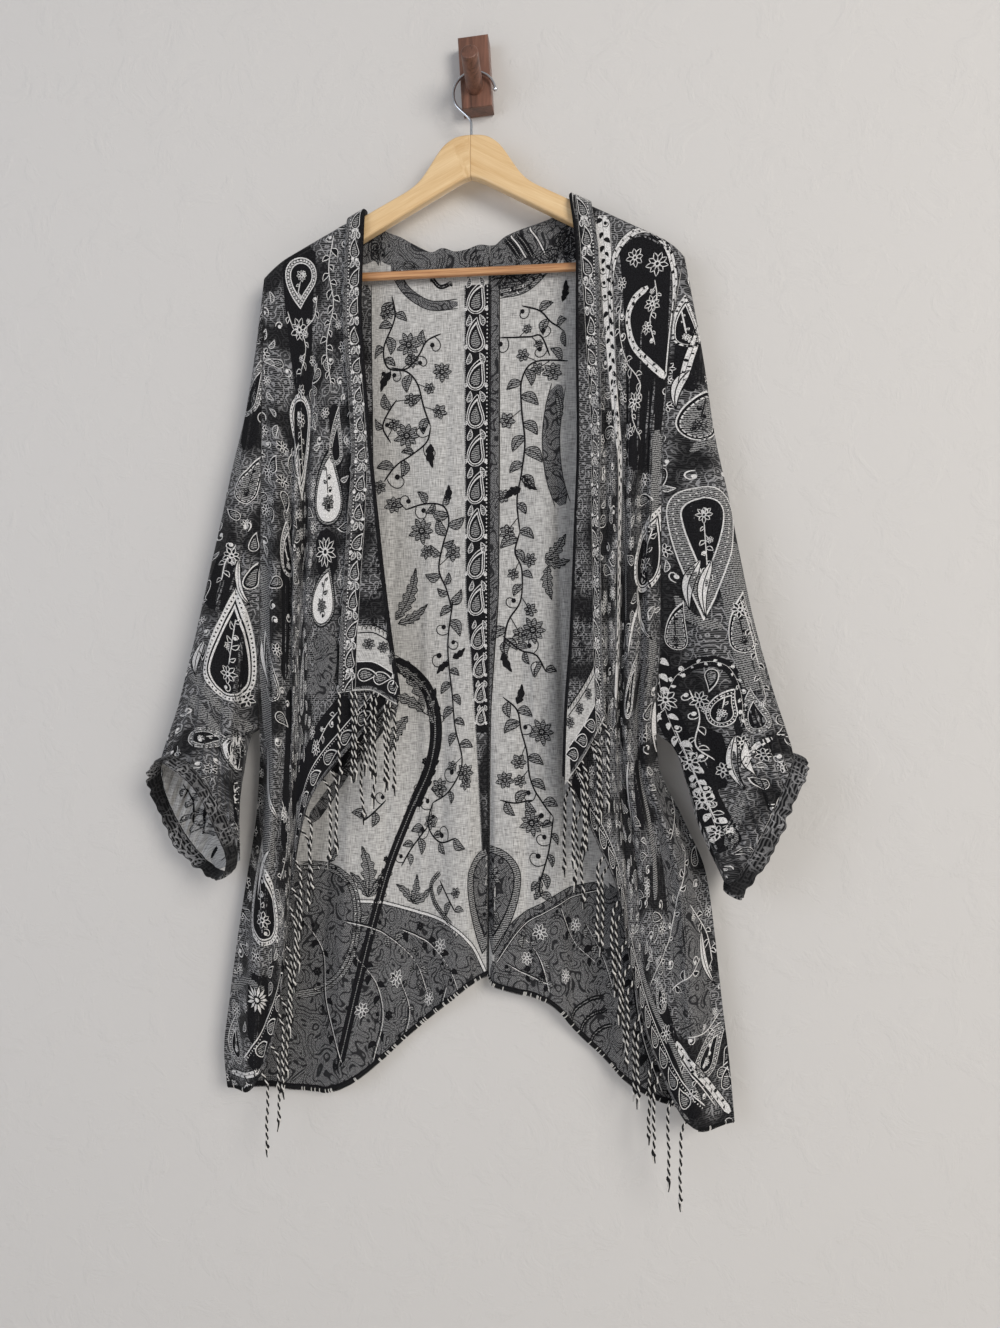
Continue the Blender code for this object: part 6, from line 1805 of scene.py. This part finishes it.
# Cuffs: the sleeve ends turned in over a narrow elastic, which gathers the casing into uneven ruffles.
CUFF_POINTS = 420
CUFF_WIDTH = 17.0
CUFF_START = 0.4
CUFF_PUFF = 2.6
CUFF_RUFFLES = 19
CUFF_SECTION = 14
for side in (LEFT, RIGHT):
    turn = np.linspace(0, 2 * math.pi, CUFF_POINTS, endpoint=False)[:, None, None]
    flip = np.array([1, 1, -1])
    centre, long, short = (np.array(v) * flip for v in (side.cuff_centre, side.cuff_long, side.cuff_short))
    axis = np.cross(long, short)
    axis = axis / np.linalg.norm(axis) * -np.sign(axis[2])
    rim = centre + long * np.cos(turn) + short * np.sin(turn)
    out = unit(long * np.cos(turn) / (long @ long) + short * np.sin(turn) / (short @ short))
    ruffle = np.sin(CUFF_RUFFLES * turn + 2.6 * np.sin(3 * turn) + 1.3 * np.sin(7 * turn))
    ruffle = ruffle * (0.75 + 0.35 * np.sin(4 * turn + side.toward)) + 0.45 * np.sin(31 * turn + 2.5 * np.sin(5 * turn))
    section = np.linspace(0, 2 * math.pi, CUFF_SECTION, endpoint=False)[None, :, None]
    share = 0.5 - 0.5 * np.cos(section)
    width = (CUFF_WIDTH + 1.5 * np.cos(5 * turn) + 0.8 * ruffle) * share + CUFF_START
    puff = CUFF_PUFF * 0.5 * np.sin(section) * (1 + 0.35 * ruffle)
    points = rim + axis * width + out * (puff + 1.1 * ruffle * (0.35 + 0.65 * share))
    here = np.arange(CUFF_POINTS)[:, None] * CUFF_SECTION
    beside = (np.arange(CUFF_POINTS)[:, None] + 1) % CUFF_POINTS * CUFF_SECTION
    j = np.arange(CUFF_SECTION)[None, :]
    k = (j + 1) % CUFF_SECTION
    quads = np.stack([here + j, beside + j, beside + k, here + k], axis=-1).reshape(-1, 4)
    turn_mm = np.arange(CUFF_POINTS + 1) * 0.9
    across = np.arange(CUFF_SECTION + 1) * 2.0
    i = np.arange(CUFF_POINTS)[:, None] + 0 * j
    jj = j + 0 * i
    corners = [(i, jj), (i + 1, jj), (i + 1, jj + 1), (i, jj + 1)]
    uvs = np.stack([np.stack([turn_mm[p], across[q]], axis=-1) for p, q in corners], axis=2).reshape(-1, 4, 2)
    piece = make("cuff_" + side.name + "_casing", points.reshape(-1, 3), quads.tolist(), [black_face], uvs=uvs * MM)
    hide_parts("cuff_" + side.name)

# Fringes: the shawls' own warp ends, twisted in pairs into cords of one black and one pale ply, each knotted near
# its end with a short tuft below. They hang straight down from the slanting front edges and the lapels' ends.
HEMMED_SHARE = 3 / 17  # the outer part of a front's hem has no fringe
STRAND_LENGTH = 86.0
LANE_STEP = 4.0
STRAND_PITCH = 3.0
PLY_RADIUS = 0.9
PLY_SIDES = 4
TWIST = 8.8  # the length of one turn
RINGS_PER_STRAND = 120
fringe_yarns = []
for name, ground, slub in (("fringe_black_ply", "#0b0b0c", "#2a2a2b"), ("fringe_pale_ply", "#a3a19d", "#e8e6e2")):
    yarn, tree, shader = start_material(name, 0.9, 0.1)
    place = add(tree, "TexCoord").outputs["Object"]
    fuzz = add(tree, "TexNoise", {"Vector": place, "Scale": 1100.0, "Detail": 3.0})
    tone = add(tree, "Mix", {0: fuzz.outputs["Fac"], 6: colour(ground), 7: colour(slub)}, data_type="RGBA")
    tree.links.new(tone.outputs[2], shader.inputs["Base Color"])
    bump = add(tree, "Bump", {"Height": fuzz.outputs["Fac"], "Strength": 0.5, "Distance": 0.0004})
    tree.links.new(bump.outputs[0], shader.inputs["Normal"])
    fringe_yarns.append(yarn)


def strand_paths(edge, outward, strands, behind, spread):
    """The hanging paths of the cords along an edge, in two lanes one behind the other."""
    along = run_of(edge)
    uneven = 0.28 * np.sin(2.7 * np.arange(strands) + strands)
    roots = (np.arange(strands) + 0.5 + uneven) * along[-1] / strands
    hang_y, hung, paths = edge[:, 1].mean(), {}, []
    for strand, root in enumerate(roots):
        middle, out = (stepped(rows, along, root) for rows in (edge, outward))
        out = out / np.linalg.norm(out)
        steep = ease((1 - abs(out[2])) / 0.5)
        lane = strand % 2
        y = middle[1] + behind * lane * LANE_STEP * 0.5
        y = y + (hang_y + behind * lane * LANE_STEP - y) * steep
        x = middle[0] + out[0] * 6.9
        if spread and lane in hung:
            x = spread * max(spread * x, spread * hung[lane] + STRAND_PITCH)
        hung[lane] = x
        length = STRAND_LENGTH * (1 + 0.05 * math.sin(3.1 * strand) + 0.04 * math.sin(1.3 * strand))
        low = middle[2] + out[2] * 6.9
        sway = 1.5 * math.sin(2.3 * strand)
        paths.append([
            middle + out * 0.3, np.array([middle[0] + out[0] * 4.5, y, middle[2] + out[2] * 4.5 - 6.0 * steep]),
            np.array([x, y, low - 13.0]), np.array([x + sway, y, low - 0.5 * length]),
            np.array([x - 0.4 * sway, y, low - length]),
        ])
    return paths


def corded(name, paths):
    """A fringe of two-ply cords along its paths, each with a knot and a tuft."""
    points, faces, slots, start = [], [], [], 0
    for strand, path in enumerate(paths):
        path = smoothed(path, RINGS_PER_STRAND)
        way = np.linspace(0, 1, RINGS_PER_STRAND)
        path[:, 0] += 1.1 * way * np.sin(7 * way + 2.1 * strand) + 0.5 * way * np.sin(19 * way + 3.3 * strand)
        run = run_of(path)
        knot = run[-1] - 11.0 - 2.0 * math.sin(1.9 * strand)
        swell = 1 + 0.75 * np.exp(-(((run - knot) / 2.2) ** 2))
        swell = swell * (1 - 0.45 * ease((run - knot - 3) / 8))
        loose = 1 + 1.6 * ease((run - knot - 3) / 8)
        turn = 2 * math.pi * np.minimum(run, knot + 3) / TWIST + strand
        for ply in (0, 1):
            angle = turn + math.pi * ply
            offset = np.stack([np.cos(angle), np.sin(angle), 0 * angle], axis=1)
            offset = offset * (PLY_RADIUS * 0.85 * swell * loose)[:, None]
            rings = tubed(path + offset, PLY_RADIUS * (1.1, 0.76)[ply] * swell, PLY_SIDES)
            more, sides = lofted(rings)
            points.append(more)
            faces += [[start + v for v in f] for f in sides]
            slots += [ply] * len(sides)
            start += len(more)
    return make(name, np.concatenate(points), faces, fringe_yarns, slots)


def lower_edge(grid, normals, first, last):
    """The bottom row between two columns, with the directions that lead out of the cloth there."""
    edge, n = grid[-1, first:last], normals[-1, first:last]
    out = unit(np.cross(n, np.gradient(edge, axis=0)))
    inward = grid[-12, first:last] - edge
    out = np.where((np.sum(out * inward, axis=1) > 0)[:, None], -out, out) * np.array([1, 0, 1])
    return edge, unit(out)


fringe_pieces = {}
for side in (LEFT, RIGHT):
    grid, normals = fronts[side.name], front_normals[side.name]
    first = round(HEMMED_SHARE * (PANEL_COLUMNS - 1))
    edge, out = lower_edge(grid, normals, first, PANEL_COLUMNS)
    cords = strand_paths(edge, out, side.strands, 1, -side.toward)
    piece = corded("fringe_front_" + side.name + "_cords", cords)
    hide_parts("fringe_front_" + side.name)
    fringe_pieces[side.name] = [piece]
    edge, out = lower_edge(grid, normals, PANEL_COLUMNS + TURN_COLUMNS, grid.shape[1])
    cords = strand_paths(edge, out, side.lapel_strands, -1, 0)
    piece = corded("fringe_lapel_" + side.name + "_cords", cords)
    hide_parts("fringe_lapel_" + side.name)
    fringe_pieces[side.name].append(piece)

# Hems: the back's lower edge and the fronts' outer corners are overlocked with black and white yarn, and the seam
# down the back's middle with black. Each loop is whipped round the cut edge. Geometry Nodes set the loops along
# the edges and turn them square to these.
LOOP_THICK = 1.1
LOOP_THREAD = 0.5
LOOP_OVER = 1.1  # how far a loop stands out past the edge
HEM_PITCH = 1.4
HEM_REACH = 2.3
HEM_PALE = 0.2  # the share of loops in the pale yarn
SEAM_PITCH = 1.5
SEAM_REACH = 1.1
overlock = bpy.data.node_groups.new("overlock_loops", "GeometryNodeTree")
for name, kind in (
    ("Edge", "NodeSocketGeometry"), ("Reach", "NodeSocketFloat"), ("Thickness", "NodeSocketFloat"),
    ("Thread", "NodeSocketFloat"), ("Dark yarn", "NodeSocketMaterial"), ("Pale yarn", "NodeSocketMaterial"),
):
    overlock.interface.new_socket(name, in_out="INPUT", socket_type=kind)
overlock.interface.new_socket("Loops", in_out="OUTPUT", socket_type="NodeSocketGeometry")
given = add(overlock, "NodeGroupInput").outputs
oval = add(overlock, "ShaderNodeCombineXYZ", {"X": given["Reach"], "Y": given["Thickness"], "Z": 1.0})
ring = add(overlock, "GeometryNodeCurvePrimitiveCircle", {"Resolution": 8, "Radius": 1.0})
loop = add(overlock, "GeometryNodeTransform", {"Geometry": ring.outputs[0], "Scale": oval.outputs[0]})
strand = add(overlock, "GeometryNodeCurvePrimitiveCircle", {"Resolution": 4, "Radius": given["Thread"]})
whip = add(overlock, "GeometryNodeCurveToMesh", {"Curve": loop.outputs[0], "Profile Curve": strand.outputs[0]})
run = add(overlock, "GeometryNodeInputNamedAttribute", {"Name": "edge_run"}, data_type="FLOAT_VECTOR")
inward = add(overlock, "GeometryNodeInputNamedAttribute", {"Name": "edge_inward"}, data_type="FLOAT_VECTOR")
axes = {"Primary Axis": run.outputs[0], "Secondary Axis": inward.outputs[0]}
square = add(overlock, "FunctionNodeAxesToRotation", axes, primary_axis="Z", secondary_axis="X")
dark = add(overlock, "GeometryNodeSetMaterial", {"Geometry": whip.outputs[0], "Material": given["Dark yarn"]})
placed = {"Points": given["Edge"], "Instance": dark.outputs[0], "Rotation": square.outputs[0]}
loops = add(overlock, "GeometryNodeInstanceOnPoints", placed)
plain = add(overlock, "GeometryNodeRealizeInstances", {"Geometry": loops.outputs[0]})
pale = add(overlock, "GeometryNodeInputNamedAttribute", {"Name": "pale"}, data_type="BOOLEAN")
picked = {"Geometry": plain.outputs[0], "Selection": pale.outputs[0], "Material": given["Pale yarn"]}
both = add(overlock, "GeometryNodeSetMaterial", picked)
add(overlock, "NodeGroupOutput", {"Loops": both.outputs[0]})


def overlocked(name, edges, pitch, reach, pale_share, seed):
    """The overlock of some edges, each a row of points, their normals and a row further in."""
    spots, runs, inwards = [], [], []
    for edge, normals, further in edges:
        along = run_of(edge)
        lead = np.gradient(edge, axis=0)
        turned = np.cross(normals, lead)
        turned = turned * np.sign(np.sum(turned * (further - edge), axis=1, keepdims=True))
        at = np.arange(pitch, along[-1] - pitch, pitch)
        place, lead, turned = (stepped(rows, along, at) for rows in (edge, lead, turned))
        turned = unit(turned)
        spots.append(place + turned * (reach - LOOP_OVER))
        runs.append(unit(lead))
        inwards.append(turned)
    spots, runs, inwards = (np.concatenate(rows) for rows in (spots, runs, inwards))
    mesh = bpy.data.meshes.new(name)
    mesh.from_pydata((spots * MM).tolist(), [], [])
    pale = np.random.default_rng(seed).uniform(size=len(spots)) < pale_share
    for title, kind, key, values in (
        ("edge_run", "FLOAT_VECTOR", "vector", runs), ("edge_inward", "FLOAT_VECTOR", "vector", inwards),
        ("pale", "BOOLEAN", "value", pale),
    ):
        mesh.attributes.new(title, kind, "POINT").data.foreach_set(key, np.ascontiguousarray(values).ravel())
    piece = bpy.data.objects.new(name, mesh)
    scene.collection.objects.link(piece)
    modifier = piece.modifiers.new("overlock", "NODES")
    modifier.node_group = overlock
    values = {
        "Reach": reach * MM, "Thickness": LOOP_THICK * MM, "Thread": LOOP_THREAD * MM,
        "Dark yarn": fringe_yarns[0], "Pale yarn": fringe_yarns[1],
    }
    for socket in overlock.interface.items_tree:
        if socket.name in values:
            modifier[socket.identifier] = values[socket.name]
    whole = bpy.data.meshes.new_from_object(piece.evaluated_get(bpy.context.evaluated_depsgraph_get()))
    piece.modifiers.clear()
    piece.data = whole
    whole.polygons.foreach_set("use_smooth", np.ones(len(whole.polygons), bool))
    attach(piece, "root")
    return piece


hems = {}
for side in (LEFT, RIGHT):
    grid, normals = backs[side.name], back_normals[side.name]
    corner = round(HEMMED_SHARE * (PANEL_COLUMNS - 1))
    front, facing = fronts[side.name][:, :corner], front_normals[side.name][:, :corner]
    hems[side.name] = []
    for panel, edge, seed in (
        ("back_", (grid[-1], normals[-1], grid[-9]), 91 + side.toward),
        ("front_", (front[-1], facing[-1], front[-9]), 95),
    ):
        name = panel + side.name + "_overlock"
        hems[side.name].append(overlocked(name, [edge], HEM_PITCH, HEM_REACH, HEM_PALE, seed))
seam, turned = backs["left"][WRAP_ROWS:], back_normals["left"][WRAP_ROWS:]
edge = (seam[:, 0], turned[:, 0], seam[:, 8])
hems["left"].append(overlocked("middle_seam_overlock", [edge], SEAM_PITCH, SEAM_REACH, 0, 97))

# The cut of each cloth, laid flat: a back and a front are shawl panels with curved or slanting hems, a sleeve is one
# piece round the arm, and a cuff is the sleeve's end gathered on elastic.
Cut = namedtuple("Cut", "width length area")
CUTS = {
    "left": (Cut(0.34, 0.95, 0.226), Cut(0.30, 0.95, 0.127), Cut(0.26, 0.67, 0.082), Cut(0.4, 0.018, None)),
    "right": (Cut(0.31, 0.96, 0.179), Cut(0.28, 0.96, 0.121), Cut(0.27, 0.68, 0.102), Cut(0.4, 0.018, None)),
}
for side in (LEFT, RIGHT):
    name = side.name
    back, front, sleeve, cuff = CUTS[name]
    back_hem, front_hem, *middle = hems[name]
